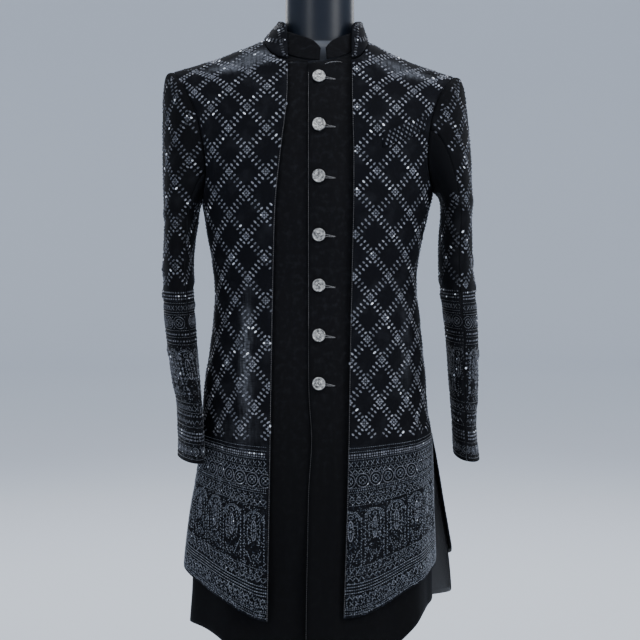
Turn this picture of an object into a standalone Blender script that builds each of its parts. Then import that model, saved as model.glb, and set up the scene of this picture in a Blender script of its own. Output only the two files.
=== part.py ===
"""Two-layer sherwani coat, worn open over a buttoned inner coat, on a dress form."""

import math
from collections import namedtuple

import bmesh
import bpy
from mathutils import Matrix, Vector
from mathutils.bvhtree import BVHTree

# Every length is in metres and every angle in degrees. The coat faces -Y and stands on z = 0.
RIGHT = -1
LEFT = 1
FRONT = -1
BACK = 1

# Cloth layers, measured inward from the outer coat's face.
OUTER_CLOTH = 0.0020
OUTER_LINE = -0.0020
INNER_CLOTH = 0.0016
INNER_LINE = -0.0085
INNER_SETTLED = -0.0054
NECK_TUCK = 0.0014
LAP_LINE = -0.0052
FORM_LINE = -0.0117
FORM_SETTLED = -0.0057
SEAM_GAP = 0.0003

# Body shape.
ROUNDNESS = 2.3
CHEST_Z = 1.090
SHOULDER_ROUNDNESS = 2.2
ARMPIT_Z = {RIGHT: 0.984, LEFT: 1.000}
SLIT_TOP_Z = 0.628
SLIT_OPEN = 5.0

# Panels.
PANEL_ROWS = 23
TOP_ROWS = 8
PANEL_COLUMNS = {
    "outer_front_right": 10,
    "outer_front_left": 11,
    "outer_back": 20,
    "inner_front_right": 9,
    "inner_front_left": 11,
    "inner_back": 16,
}
NECK_ROWS = 4
Neckline = namedtuple("Neckline", "side_x front_z back_z back_columns")
OUTER_NECKLINE = Neckline(0.078, 1.2000, 1.2240, 4)
INNER_NECKLINE = Neckline(0.070, 1.1970, 1.2200, 3)

# Sleeves.
SLEEVE_JOIN_Z = 0.955
CAP_ROWS = 6
ARM_ROWS = 9
FRONT_SEAM = {RIGHT: 122.0, LEFT: 86.0}
BACK_SEAM = -96.0
HEAD_GAP = 0.0019
HEAD_FULLNESS = {RIGHT: 0.037, LEFT: 0.038}
PIT_GAP = 0.0046
PIT_RAISE = 0.0030
PIT_SPREAD = {RIGHT: 0.014, LEFT: 0.060}
SIDE_SPREAD = 0.100
Cuff = namedtuple("Cuff", "outer_z inner_z")
CUFFS = {RIGHT: Cuff(0.5920, 0.5930), LEFT: Cuff(0.5870, 0.5985)}

# Collars.
COLLAR_CLOTH = 0.0022
COLLAR_RISE = {"outer": 0.0033, "inner": 0.0020}
COLLAR_END_RIGHT = 0.0055
COLLAR_END_LEFT = 0.0162

# Buttons and buttonholes.
BUTTON_RADIUS = 0.0110
BUTTON_DEPTH = 0.0046
SHANK_RADIUS = 0.0030
SHANK_DEPTH = 0.0018
BUTTON_X = 0.0045
HOLE_LENGTH = 0.0210
HOLE_HEIGHT = 0.0026
HOLE_CLOTH = 0.0006
TRIM_RISE = 0.0004

# Chest pocket welt.
Corner = namedtuple("Corner", "x z")
WELT_CLOTH = 0.0012
WELT_RISE = 0.0006
WELT_HEIGHT = 0.0230
WELT_INNER = Corner(0.1000, 1.0690)
WELT_OUTER = Corner(0.1650, 1.0955)

# Dress form and stand.
FORM_BOTTOM_Z = 0.600
FORM_ARM_WIDTH = 0.166
FORM_POINTS = 26
FORM_SHOULDER_ROWS = 8
FORM_NECK_Z = 1.222
FORM_TUCK = 0.90
NECK_X = 0.006
POLE_RADIUS = 0.0140
BASE_RADIUS = 0.170
BASE_HEIGHT = 0.014

# Half widths of the outer coat's face at each height: right and left side of the front and the back.
Girth = namedtuple("Girth", "z front_right front_left back_right back_left front back")
GIRTHS = (
    Girth(0.230, 0.2130, 0.1930, 0.2130, 0.2230, 0.148, 0.152),
    Girth(0.350, 0.2110, 0.1920, 0.2090, 0.2240, 0.143, 0.148),
    Girth(0.417, 0.2083, 0.1906, 0.2060, 0.2195, 0.140, 0.145),
    Girth(0.468, 0.2032, 0.1886, 0.2020, 0.2115, 0.137, 0.141),
    Girth(0.516, 0.1965, 0.1864, 0.1975, 0.2030, 0.134, 0.137),
    Girth(0.565, 0.1868, 0.1852, 0.1890, 0.1945, 0.130, 0.133),
    Girth(0.628, 0.1800, 0.1815, 0.1800, 0.1820, 0.124, 0.128),
    Girth(0.660, 0.1778, 0.1755, 0.1778, 0.1755, 0.121, 0.125),
    Girth(0.708, 0.1742, 0.1722, 0.1742, 0.1722, 0.117, 0.118),
    Girth(0.755, 0.1667, 0.1675, 0.1667, 0.1675, 0.113, 0.109),
    Girth(0.803, 0.1605, 0.1628, 0.1605, 0.1628, 0.110, 0.100),
    Girth(0.857, 0.1583, 0.1570, 0.1583, 0.1570, 0.110, 0.095),
    Girth(0.897, 0.1628, 0.1597, 0.1628, 0.1597, 0.114, 0.100),
    Girth(0.944, 0.1704, 0.1690, 0.1704, 0.1690, 0.120, 0.108),
    Girth(0.998, 0.1800, 0.1815, 0.1800, 0.1815, 0.126, 0.114),
    Girth(1.040, 0.1890, 0.1900, 0.1890, 0.1900, 0.127, 0.116),
    Girth(1.100, 0.2040, 0.2010, 0.2040, 0.2010, 0.124, 0.113),
    Girth(1.180, 0.2220, 0.2145, 0.2220, 0.2145, 0.114, 0.102),
    Girth(1.300, 0.2220, 0.2145, 0.2220, 0.2145, 0.104, 0.092),
)

# How much closer the inner coat's skirt hangs than the outer one's.
Tuck = namedtuple("Tuck", "z right left")
TUCKS = (
    Tuck(0.230, 0.0040, 0.0000),
    Tuck(0.322, 0.0050, 0.0000),
    Tuck(0.390, 0.0080, 0.0000),
    Tuck(0.520, 0.0000, 0.0000),
    Tuck(1.300, 0.0000, 0.0000),
)

# Height of the shoulder ridge above each distance from the middle.
Ridge = namedtuple("Ridge", "x right left")
RIDGES = (
    Ridge(0.000, 1.2570, 1.2570),
    Ridge(0.050, 1.2480, 1.2480),
    Ridge(0.078, 1.2370, 1.2355),
    Ridge(0.108, 1.2250, 1.2200),
    Ridge(0.150, 1.2085, 1.2010),
    Ridge(0.190, 1.1965, 1.1875),
    Ridge(0.215, 1.1895, 1.1800),
    Ridge(0.230, 1.1850, 1.1760),
)

# Armhole edge from the armpit (0) to the shoulder point (1), as a share of the body's half width.
Armhole = namedtuple("Armhole", "height front back")
ARMHOLES = (
    Armhole(0.00, 1.000, 1.000),
    Armhole(0.08, 0.955, 0.960),
    Armhole(0.23, 0.895, 0.905),
    Armhole(0.48, 0.860, 0.875),
    Armhole(0.73, 0.870, 0.885),
    Armhole(0.88, 0.915, 0.925),
    Armhole(1.00, 1.000, 1.000),
)

# Front edges of the open outer coat, as distances from the middle.
Edge = namedtuple("Edge", "z right left")
FRONT_EDGES = (
    Edge(0.230, 0.0740, 0.0400),
    Edge(0.350, 0.0724, 0.0411),
    Edge(0.540, 0.0690, 0.0469),
    Edge(0.767, 0.0654, 0.0511),
    Edge(0.917, 0.0621, 0.0539),
    Edge(0.991, 0.0590, 0.0552),
    Edge(1.065, 0.0514, 0.0551),
    Edge(1.138, 0.0424, 0.0535),
    Edge(1.210, 0.0415, 0.0534),
    Edge(1.300, 0.0415, 0.0534),
)

# Hem heights from the front edge (0) to the side (1).
Hem = namedtuple("Hem", "share outer_right outer_left inner_right inner_left")
HEMS = (
    Hem(0.00, 0.3560, 0.3625, 0.2520, 0.2520),
    Hem(0.08, 0.3595, 0.3640, 0.2540, 0.2540),
    Hem(0.30, 0.3840, 0.3810, 0.2780, 0.2720),
    Hem(0.50, 0.3965, 0.4020, 0.3160, 0.3160),
    Hem(0.70, 0.4075, 0.4125, 0.3290, 0.3495),
    Hem(0.88, 0.4190, 0.4185, 0.3320, 0.3600),
    Hem(0.96, 0.4210, 0.4235, 0.3300, 0.3630),
    Hem(1.00, 0.4240, 0.4300, 0.3280, 0.3660),
)

# Hem heights of the back, from the middle (0) to the side (1).
BackHem = namedtuple("BackHem", "share outer inner")
BACK_HEMS = (
    BackHem(0.00, 0.3720, 0.3000),
    BackHem(0.40, 0.3850, 0.3120),
    BackHem(0.75, 0.4080, 0.3430),
    BackHem(0.94, 0.4250, 0.3610),
    BackHem(1.00, 0.4360, 0.3700),
)

# Soft upright folds below the waist: the angle they stand at, their width and how far they stand out.
Fold = namedtuple("Fold", "face side angle width depth top bottom")
FOLDS = (
    Fold(FRONT, RIGHT, 36.0, 8.0, 0.0050, 0.900, 0.480),
    Fold(FRONT, RIGHT, 57.0, 9.0, -0.0035, 0.840, 0.420),
    Fold(FRONT, RIGHT, 75.0, 7.0, 0.0035, 0.780, 0.400),
    Fold(FRONT, LEFT, 33.0, 9.0, -0.0030, 0.860, 0.420),
    Fold(FRONT, LEFT, 52.0, 8.0, 0.0045, 0.800, 0.440),
    Fold(FRONT, LEFT, 72.0, 7.0, -0.0030, 0.760, 0.400),
    Fold(BACK, RIGHT, 17.0, 8.0, 0.0045, 0.880, 0.420),
    Fold(BACK, RIGHT, 41.0, 9.0, -0.0040, 0.820, 0.400),
    Fold(BACK, RIGHT, 64.0, 8.0, 0.0050, 0.800, 0.380),
    Fold(BACK, LEFT, 12.0, 7.0, -0.0030, 0.860, 0.420),
    Fold(BACK, LEFT, 34.0, 9.0, 0.0055, 0.860, 0.380),
    Fold(BACK, LEFT, 59.0, 8.0, -0.0040, 0.800, 0.400),
    Fold(BACK, LEFT, 77.0, 7.0, 0.0035, 0.760, 0.400),
)

# Sleeve sections: outer and inner reach from the middle, depth either side of the centre, and turn.
Sleeve = namedtuple("Sleeve", "z outer inner centre_y half_depth turn")
RIGHT_SLEEVE = (
    Sleeve(0.580, 0.2190, 0.1700, -0.0500, 0.0590, 17.0),
    Sleeve(0.612, 0.2170, 0.1700, -0.0480, 0.0590, 17.0),
    Sleeve(0.644, 0.2185, 0.1715, -0.0450, 0.0595, 17.0),
    Sleeve(0.676, 0.2200, 0.1735, -0.0410, 0.0600, 16.0),
    Sleeve(0.708, 0.2255, 0.1775, -0.0360, 0.0610, 13.0),
    Sleeve(0.755, 0.2315, 0.1825, -0.0270, 0.0630, 9.0),
    Sleeve(0.803, 0.2365, 0.1870, -0.0190, 0.0650, 5.0),
    Sleeve(0.834, 0.2388, 0.1898, -0.0120, 0.0660, 4.0),
    Sleeve(0.897, 0.2384, 0.1910, -0.0060, 0.0680, 2.0),
    Sleeve(0.928, 0.2370, 0.1880, -0.0030, 0.0695, 1.0),
    Sleeve(0.960, 0.2355, 0.1835, 0.0000, 0.0710, 0.0),
)
LEFT_SLEEVE = (
    Sleeve(0.580, 0.2580, 0.2150, -0.0220, 0.0600, 5.0),
    Sleeve(0.612, 0.2535, 0.2135, -0.0210, 0.0600, 5.0),
    Sleeve(0.644, 0.2515, 0.2120, -0.0200, 0.0605, 5.0),
    Sleeve(0.676, 0.2530, 0.2095, -0.0190, 0.0610, 5.0),
    Sleeve(0.708, 0.2540, 0.2070, -0.0170, 0.0620, 5.0),
    Sleeve(0.755, 0.2540, 0.2040, -0.0140, 0.0635, 4.0),
    Sleeve(0.803, 0.2525, 0.1995, -0.0110, 0.0650, 3.0),
    Sleeve(0.834, 0.2505, 0.1955, -0.0090, 0.0660, 3.0),
    Sleeve(0.897, 0.2445, 0.1912, -0.0050, 0.0680, 2.0),
    Sleeve(0.928, 0.2432, 0.1920, -0.0030, 0.0695, 1.0),
    Sleeve(0.960, 0.2430, 0.1945, 0.0000, 0.0710, 0.0),
)

# Top edges of the collars, measured from the neck's centre line.
Collar = namedtuple("Collar", "side front back end_right end_left end_z side_z back_z")
OUTER_COLLAR_TOP = Collar(0.0625, 0.0720, 0.0640, 53.0, 51.0, 1.2590, 1.2640, 1.2700)
INNER_COLLAR_TOP = Collar(0.0575, 0.0780, 0.0575, -2.0, 8.0, 1.2260, 1.2500, 1.2600)

# Sections of the form's neck.
Neck = namedtuple("Neck", "z half_width half_depth")
NECKS = (
    Neck(1.2280, 0.0545, 0.0540),
    Neck(1.2500, 0.0532, 0.0530),
    Neck(1.3000, 0.0530, 0.0530),
    Neck(1.3350, 0.0530, 0.0530),
    Neck(1.3420, 0.0500, 0.0500),
    Neck(1.3450, 0.0440, 0.0440),
)

BUTTON_HEIGHTS = (1.1735, 1.1025, 1.0270, 0.9400, 0.8635, 0.7880, 0.7155)

# Finishes: colour, roughness and metal.
Finish = namedtuple("Finish", "colour roughness metallic")
FINISHES = {
    "velvet": Finish((0.012, 0.013, 0.018, 1.0), 0.85, 0.0),
    "silver": Finish((0.62, 0.62, 0.64, 1.0), 0.30, 1.0),
    "thread": Finish((0.030, 0.031, 0.036, 1.0), 0.70, 0.0),
    "gloss_black": Finish((0.010, 0.010, 0.011, 1.0), 0.12, 0.0),
    "steel": Finish((0.45, 0.45, 0.46, 1.0), 0.25, 1.0),
}


def clear_scene():
    """Start from an empty file."""
    for item in list(bpy.data.objects):
        bpy.data.objects.remove(item, do_unlink=True)


def between(low, high, share):
    """The value this share of the way from low to high."""
    return low + (high - low) * share


def smooth(share):
    """A soft step from 0 to 1."""
    share = min(max(share, 0.0), 1.0)
    return share * share * (3.0 - 2.0 * share)


def look_up(table, key, column, value):
    """Read one column of a table on a smooth curve through its rows."""
    keys = [getattr(row, key) for row in table]
    values = [getattr(row, column) for row in table]
    if value <= keys[0]:
        return values[0]
    if value >= keys[-1]:
        return values[-1]
    index = 0
    while keys[index + 1] < value:
        index += 1
    step = keys[index + 1] - keys[index]
    rise = values[index + 1] - values[index]
    slope = rise / step
    before = slope
    after = slope
    if index > 0:
        last = (values[index] - values[index - 1]) / (keys[index] - keys[index - 1])
        before = 0.5 * (slope + last) if slope * last > 0.0 else 0.0
    if index < len(keys) - 2:
        following = (values[index + 2] - values[index + 1]) / (keys[index + 2] - keys[index + 1])
        after = 0.5 * (slope + following) if slope * following > 0.0 else 0.0
    t = (value - keys[index]) / step
    start = (2.0 * t - 3.0) * t * t + 1.0
    end = (3.0 - 2.0 * t) * t * t
    leave = ((t - 2.0) * t + 1.0) * t
    arrive = (t - 1.0) * t * t
    return values[index] * start + values[index + 1] * end + step * (before * leave + after * arrive)


def half_width(face, side, z):
    """Half width of the outer face at a height."""
    columns = {
        (FRONT, RIGHT): "front_right",
        (FRONT, LEFT): "front_left",
        (BACK, RIGHT): "back_right",
        (BACK, LEFT): "back_left",
    }
    return look_up(GIRTHS, "z", columns[(face, side)], z)


def half_depth(face, z):
    """Depth of the outer face in front of or behind the middle."""
    return look_up(GIRTHS, "z", "front" if face == FRONT else "back", z)


def ridge_height(side, x):
    """Height of the shoulder ridge."""
    return look_up(RIDGES, "x", "right" if side == RIGHT else "left", abs(x))


def angle_at(face, side, x, z, line):
    """Angle round the body of a point this far from the middle."""
    share = min(abs(x) / (half_width(face, side, z) + line), 1.0)
    return math.copysign(math.degrees(math.asin(share ** (ROUNDNESS / 2.0))), x)


def across(face, side, angle, z, line):
    """Distance from the middle at an angle round the body."""
    turn = math.sin(math.radians(abs(angle)))
    width = half_width(face, side, z) + line
    return math.copysign(width * turn ** (2.0 / ROUNDNESS), angle)


def closing(side, x, z, line):
    """How much of the body's depth is left near the shoulder ridge."""
    if z <= CHEST_Z:
        return 1.0
    height = min((z - CHEST_Z) / (ridge_height(side, x) + line - CHEST_Z), 1.0)
    return (1.0 - height ** SHOULDER_ROUNDNESS) ** (1.0 / SHOULDER_ROUNDNESS)


def body_point(face, side, angle, z, line, lift=0.0):
    """A point on the body, a layer's distance from the outer face."""
    x = across(face, side, angle, z, line + lift)
    turn = math.cos(math.radians(min(abs(angle), 90.0)))
    depth = (half_depth(face, z) + line + lift) * turn ** (2.0 / ROUNDNESS)
    return Vector((side * x, face * depth * closing(side, x, z, line), z))


def armhole_angle(face, side, z, line):
    """Angle of the armhole's edge, or of the side seam below it."""
    armpit = ARMPIT_Z[side]
    if z <= armpit:
        if z >= SLIT_TOP_Z:
            return 90.0
        return 90.0 - SLIT_OPEN * smooth((SLIT_TOP_Z - z) / 0.15)
    top = ridge_height(side, half_width(face, side, 1.18))
    height = min((z - armpit) / (top - armpit), 1.0)
    share = look_up(ARMHOLES, "height", "front" if face == FRONT else "back", height)
    return math.degrees(math.asin(min(share, 1.0) ** (ROUNDNESS / 2.0)))


def fold_lift(face, side, angle, z):
    """How far the folds stand out at one place."""
    lift = 0.0
    for fold in FOLDS:
        if (fold.face, fold.side) != (face, side):
            continue
        run = smooth((fold.top - z) / (fold.top - fold.bottom))
        near = (angle - fold.angle) / fold.width
        lift += fold.depth * run * math.exp(-near * near)
    return lift


class Panel:
    """One cut piece of a coat's body, from an inner edge to the side and from hem to shoulder."""

    def __init__(self, face, side, line, edge, neckline, hem):
        self.face = face
        self.side = side
        self.line = line
        self.edge = edge
        self.neckline = neckline
        self.hem = hem

    def first_angle(self, x, z):
        """Angle of the piece's inner edge."""
        return angle_at(self.face, self.side, x, z, self.line)

    def last_angle(self, z):
        """Angle of the armhole's edge or the side seam."""
        seam = math.degrees(SEAM_GAP / half_width(self.face, self.side, z))
        return armhole_angle(self.face, self.side, z, self.line) - seam

    def line_at(self, x, z, settle):
        """Layer distance of the inner skin, which settles on the shoulder ridge."""
        if self.line == INNER_LINE:
            tuck = look_up(TUCKS, "z", "right" if self.side == RIGHT else "left", z)
            tuck += NECK_TUCK * settle * smooth((0.110 - abs(x)) / 0.030)
            return between(self.line, INNER_SETTLED, settle) - tuck
        return self.line

    def place(self, angle, z, settle):
        """The point of the cloth's inner skin at an angle and a height."""
        x = across(self.face, self.side, angle, z, self.line)
        lift = fold_lift(self.face, self.side, angle, z)
        spot = body_point(self.face, self.side, angle, z, self.line_at(x, z, settle), lift)
        if z > CHEST_Z:
            spot.y += self.face * SEAM_GAP * 0.5
        return spot

    def point(self, u, v):
        """Where a share across and a share up the panel lie."""
        join = 1.0 - TOP_ROWS / PANEL_ROWS
        if v <= join:
            z = between(self.hem(u), CHEST_Z, v / join)
            first = self.first_angle(self.edge(z), z)
            return self.place(between(first, self.last_angle(z), u), z, 0.0)
        return self.upper_point(u, (v - join) / (1.0 - join))

    def inner_corner(self, share):
        """The inner edge, and above the throat the neckline, as a distance and a height."""
        throat = self.neckline.front_z
        start = 1.0 - NECK_ROWS / TOP_ROWS
        if share <= start:
            rise = math.sin(math.radians(90.0 * share)) / math.sin(math.radians(90.0 * start))
            z = between(CHEST_Z, throat, rise ** (2.0 / SHOULDER_ROUNDNESS))
            return self.edge(z), z
        turn = math.radians(90.0 * (share - start) / (1.0 - start))
        x = between(self.edge(throat), self.neckline.side_x, math.sin(turn))
        return x, between(self.neck_top(), throat, math.cos(turn))

    def neck_top(self):
        """Height of the neckline where it meets the shoulder seam."""
        side_x = self.neckline.side_x
        level = ridge_height(self.side, side_x)
        return level + self.line_at(side_x, level, 1.0)

    def rise_at(self, x, z, settle):
        """How far up the shoulder a point is, from the chest (0) to the ridge (1)."""
        level = ridge_height(self.side, x) + self.line_at(x, z, settle)
        return min((z - CHEST_Z) / (level - CHEST_Z), 1.0)

    def upper_point(self, u, share):
        """A point over the shoulder, where every row runs from the neckline to the armhole."""
        corner_x, corner_z = self.inner_corner(share)
        settle = smooth((90.0 * share - 30.0) / 55.0)
        turn = math.sin(math.radians(90.0 * share)) ** (2.0 / SHOULDER_ROUNDNESS)
        rise = between(turn, self.rise_at(corner_x, corner_z, settle), (1.0 - u) ** 2)
        z = corner_z
        for _ in range(14):
            angle = between(self.first_angle(corner_x, z), self.last_angle(z), u)
            x = across(self.face, self.side, angle, z, self.line)
            z = CHEST_Z + (ridge_height(self.side, x) + self.line_at(x, z, settle) - CHEST_Z) * rise
        return self.place(angle, z, settle)

    def neck_points(self, start_x):
        """The neckline's own points, from a distance off the middle to the shoulder seam."""
        rows = [1.0 - row / PANEL_ROWS for row in range(NECK_ROWS, -1, -1)]
        points = [self.point(0.0, v) for v in rows]
        while len(points) > 2 and self.side * points[1].x < start_x:
            points.pop(0)
        span = self.side * (points[1].x - points[0].x)
        ahead = (start_x - self.side * points[0].x) / span
        points[0] = points[0].lerp(points[1], min(max(ahead, 0.0), 1.0))
        return points


class LapPanel(Panel):
    """The inner coat's left front, which laps over the right front."""

    def line_at(self, x, z, settle):
        over = (LAP_LINE - self.line) * (1.0 - smooth((x - 0.029) / 0.010))
        return super().line_at(x, z, settle) + over


class BackHalf(Panel):
    """Half of a back, whose first columns end on the neckline."""

    def __init__(self, side, line, neckline, hem, columns):
        super().__init__(BACK, side, line, middle, neckline, hem)
        self.knee = neckline.back_columns / columns

    def column_angle(self, u, z):
        """Angle of a column, with the neckline's columns crowding towards the shoulder seam."""
        width = half_width(self.face, self.side, z)
        corner = self.neckline.side_x * width / half_width(self.face, self.side, 1.18)
        knee = self.first_angle(corner, z)
        if u >= self.knee:
            return between(knee, self.last_angle(z), (u - self.knee) / (1.0 - self.knee))
        share = u / self.knee
        crowd = between(share, math.sin(math.radians(90.0 * share)), smooth((z - 0.95) / 0.20))
        return self.first_angle(corner * crowd, z)

    def column_top(self, u):
        """How far round the shoulder a column reaches, in degrees."""
        if u >= self.knee - 0.001:
            return 90.0
        turn = math.radians(90.0 * u / self.knee)
        x = self.neckline.side_x * math.sin(turn)
        z = between(self.neck_top(), self.neckline.back_z, math.cos(turn))
        return math.degrees(math.asin(self.rise_at(x, z, 1.0) ** (SHOULDER_ROUNDNESS / 2.0)))

    def point(self, u, v):
        """Where a share across and a share up the half lie."""
        join = 1.0 - TOP_ROWS / PANEL_ROWS
        if v <= join:
            z = between(self.hem(u), CHEST_Z, v / join)
            return self.place(self.column_angle(u, z), z, 0.0)
        reach = self.column_top(u) * (v - join) / (1.0 - join)
        settle = smooth((reach - 30.0) / 55.0)
        turn = math.sin(math.radians(reach)) ** (2.0 / SHOULDER_ROUNDNESS)
        z = CHEST_Z
        for _ in range(14):
            angle = self.column_angle(u, z)
            x = across(self.face, self.side, angle, z, self.line)
            z = CHEST_Z + (ridge_height(self.side, x) + self.line_at(x, z, settle) - CHEST_Z) * turn
        return self.place(angle, z, settle)

    def neck_points(self, start_x):
        """The neckline's own points, from the middle to the shoulder seam."""
        count = self.neckline.back_columns
        return [self.point(self.knee * column / count, 1.0) for column in range(count + 1)]


def make_material(name):
    """A Principled material."""
    finish = FINISHES[name]
    material = bpy.data.materials.new(name)
    material.use_nodes = True
    shader = material.node_tree.nodes["Principled BSDF"]
    shader.inputs["Base Color"].default_value = finish.colour
    shader.inputs["Roughness"].default_value = finish.roughness
    shader.inputs["Metallic"].default_value = finish.metallic
    return material


def add_object(name, shape, finish, collection, rounded=True):
    """Turn a bmesh into a named object."""
    mesh = bpy.data.meshes.new(name)
    for face in shape.faces:
        face.smooth = rounded
    shape.to_mesh(mesh)
    shape.free()
    item = bpy.data.objects.new(name, mesh)
    material = make_material(finish)
    material.name = name + "_" + finish
    mesh.materials.append(material)
    collection.objects.link(item)
    return item


def add_shell(name, columns, rows, place, outward, thickness, finish, collection):
    """A sheet of cloth: a grid moved onto a surface and given its thickness outward."""
    shape = bmesh.new()
    bmesh.ops.create_grid(shape, x_segments=columns, y_segments=rows, size=0.5)
    for vertex in shape.verts:
        vertex.co = place(vertex.co.x + 0.5, vertex.co.y + 0.5)
    shape.normal_update()
    facing = 0.0
    for face in shape.faces:
        facing += face.normal.dot(outward(face.calc_center_median())) * face.calc_area()
    if facing < 0.0:
        bmesh.ops.reverse_faces(shape, faces=shape.faces[:])
    skin = BVHTree.FromBMesh(shape)
    item = add_object(name, shape, finish, collection)
    wall = item.modifiers.new("cloth", "SOLIDIFY")
    wall.thickness = thickness
    wall.offset = 1.0
    wall.use_even_offset = True
    return skin


def from_axis(x, y=0.0):
    """A test for which way is out, seen from an upright line."""
    def direction(place):
        return Vector((place.x - x, place.y - y, 0.35 * max(place.z - CHEST_Z, 0.0)))
    return direction


def hem_reader(column, table=HEMS):
    """A hem's height along a panel."""
    def hem(u):
        return look_up(table, "share", column, u)
    return hem


def edge_reader(column, inset=0.0):
    """A front edge's distance from the middle."""
    def edge(z):
        return look_up(FRONT_EDGES, "z", column, z) + inset
    return edge


def placket_edge(z):
    """The lapped inner front's edge, left of the buttons."""
    return -0.0115 - 0.0040 * smooth((0.60 - z) / 0.3) + 0.0045 * math.exp(-((z - 0.63) / 0.05) ** 2)


def underlap_edge(z):
    """The inner right front's hidden edge, beyond the middle."""
    return -0.0200


def middle(z):
    """The back's middle line."""
    return 0.0


class BackPanel:
    """A back cut in one piece, from one side seam to the other."""

    def __init__(self, line, neckline, hem, columns):
        self.halves = {}
        for side in (RIGHT, LEFT):
            self.halves[side] = BackHalf(side, line, neckline, hem, columns // 2)

    def point(self, u, v):
        """Where a share across and a share up the back lie."""
        side = RIGHT if u < 0.5 else LEFT
        return self.halves[side].point(abs(2.0 * u - 1.0), v)


def build_coat(collection):
    """Cut the bodies of both coats, and give back what is sewn to them."""
    panels = {}
    skins = {}
    for side, word in ((RIGHT, "right"), (LEFT, "left")):
        panels["outer_front_" + word] = Panel(FRONT, side, OUTER_LINE, edge_reader(word), OUTER_NECKLINE,
                                              hem_reader("outer_" + word))
    panels["outer_back"] = BackPanel(OUTER_LINE, OUTER_NECKLINE, hem_reader("outer", BACK_HEMS), 20)
    panels["inner_front_right"] = Panel(FRONT, RIGHT, INNER_LINE, underlap_edge, INNER_NECKLINE,
                                        hem_reader("inner_right"))
    panels["inner_front_left"] = LapPanel(FRONT, LEFT, INNER_LINE, placket_edge, INNER_NECKLINE,
                                          hem_reader("inner_left"))
    panels["inner_back"] = BackPanel(INNER_LINE, INNER_NECKLINE, hem_reader("inner", BACK_HEMS), 16)
    for name, columns in PANEL_COLUMNS.items():
        cloth = OUTER_CLOTH if name.startswith("outer") else INNER_CLOTH
        skins[name] = add_shell(name, columns, PANEL_ROWS, panels[name].point, from_axis(0.0),
                                cloth, "velvet", collection)
    return panels, skins


def armhole_point(side, turn, line):
    """A point of the armhole's edge, from the shoulder point (0) round to the armpit (180)."""
    face = FRONT if turn >= 0.0 else BACK
    share = min(abs(turn) / 180.0, 1.0)
    top = ridge_height(side, half_width(face, side, 1.18)) + line
    height = 0.5 + 0.5 * math.cos(math.pi * share)
    z = between(ARMPIT_Z[side], top - 0.0002, height)
    return body_point(face, side, armhole_angle(face, side, z, line), z, line)


def sleeve_section(side, table, z, turn):
    """A point of a level section through the hanging sleeve."""
    outer = look_up(table, "z", "outer", z) - OUTER_CLOTH
    inner = look_up(table, "z", "inner", z) + OUTER_CLOTH
    depth = look_up(table, "z", "half_depth", z)
    twist = math.radians(look_up(table, "z", "turn", z))
    reach = 0.5 * (outer - inner)
    thin = math.sqrt(max(reach ** 2 - (depth * math.sin(twist)) ** 2, 0.0001)) / math.cos(twist)
    angle = math.radians(turn)
    out = thin * math.cos(angle)
    fore = depth * math.sin(angle)
    x = out * math.cos(twist) - fore * math.sin(twist)
    y = -(fore * math.cos(twist) + out * math.sin(twist))
    centre_y = look_up(table, "z", "centre_y", z)
    return Vector((side * (0.5 * (outer + inner) + x), centre_y + y, z))


class SleeveHalf:
    """One of the two pieces of a sleeve, between the front and the back seam."""

    def __init__(self, side, table, first, last):
        self.side = side
        self.table = table
        self.first = first
        self.last = last

    def point(self, u, v):
        """Where a share round and a share down the sleeve lie."""
        turn = between(self.first, self.last, u)
        if turn > 180.0:
            turn -= 360.0
        join = CAP_ROWS / (CAP_ROWS + ARM_ROWS)
        if v > join:
            share = (v - join) / (1.0 - join)
            cuff = CUFFS[self.side]
            low = between(cuff.outer_z, cuff.inner_z, 0.5 - 0.5 * math.cos(math.radians(turn)))
            return sleeve_section(self.side, self.table, between(SLEEVE_JOIN_Z, low, share), turn)
        return self.cap(turn, v / join)

    def cap(self, turn, share):
        """The sleeve head, from the armhole's edge to the first level section."""
        under = 0.5 - 0.5 * math.cos(math.radians(turn))
        start = armhole_point(self.side, turn, OUTER_LINE)
        start.x += self.side * between(HEAD_GAP, PIT_GAP, under ** 2)
        start.z += PIT_RAISE * under ** 4
        end = sleeve_section(self.side, self.table, SLEEVE_JOIN_Z, turn)
        span = (end - start).length
        spread = PIT_SPREAD[self.side] * under + SIDE_SPREAD * under * (1.0 - under)
        leave = Vector((self.side * spread, start.y * 0.4, -0.7 * under * span))
        arrive = Vector((0.0, 0.0, -span * 0.9))
        t = share
        full = HEAD_FULLNESS[self.side] * (1.0 - under) * math.sqrt(t) * (1.0 - t) ** 1.5
        return (start * ((2.0 * t - 3.0) * t * t + 1.0) + end * ((3.0 - 2.0 * t) * t * t)
                + leave * (((t - 2.0) * t + 1.0) * t) + arrive * ((t - 1.0) * t * t)
                + Vector((self.side * full, 0.0, 0.0)))


def build_sleeves(collection):
    """Cut the two sleeves, each in a top and an under piece."""
    gap = math.degrees(SEAM_GAP / 0.04)
    for side, word, table in ((RIGHT, "right", RIGHT_SLEEVE), (LEFT, "left", LEFT_SLEEVE)):
        outward = from_axis(side * 0.215)
        top = SleeveHalf(side, table, BACK_SEAM + gap, FRONT_SEAM[side] - gap)
        add_shell("sleeve_top_" + word, 10, CAP_ROWS + ARM_ROWS, top.point, outward,
                  OUTER_CLOTH, "velvet", collection)
        under = SleeveHalf(side, table, FRONT_SEAM[side] + gap, BACK_SEAM + 360.0 - gap)
        add_shell("sleeve_under_" + word, 9, CAP_ROWS + ARM_ROWS, under.point, outward,
                  OUTER_CLOTH, "velvet", collection)


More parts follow.
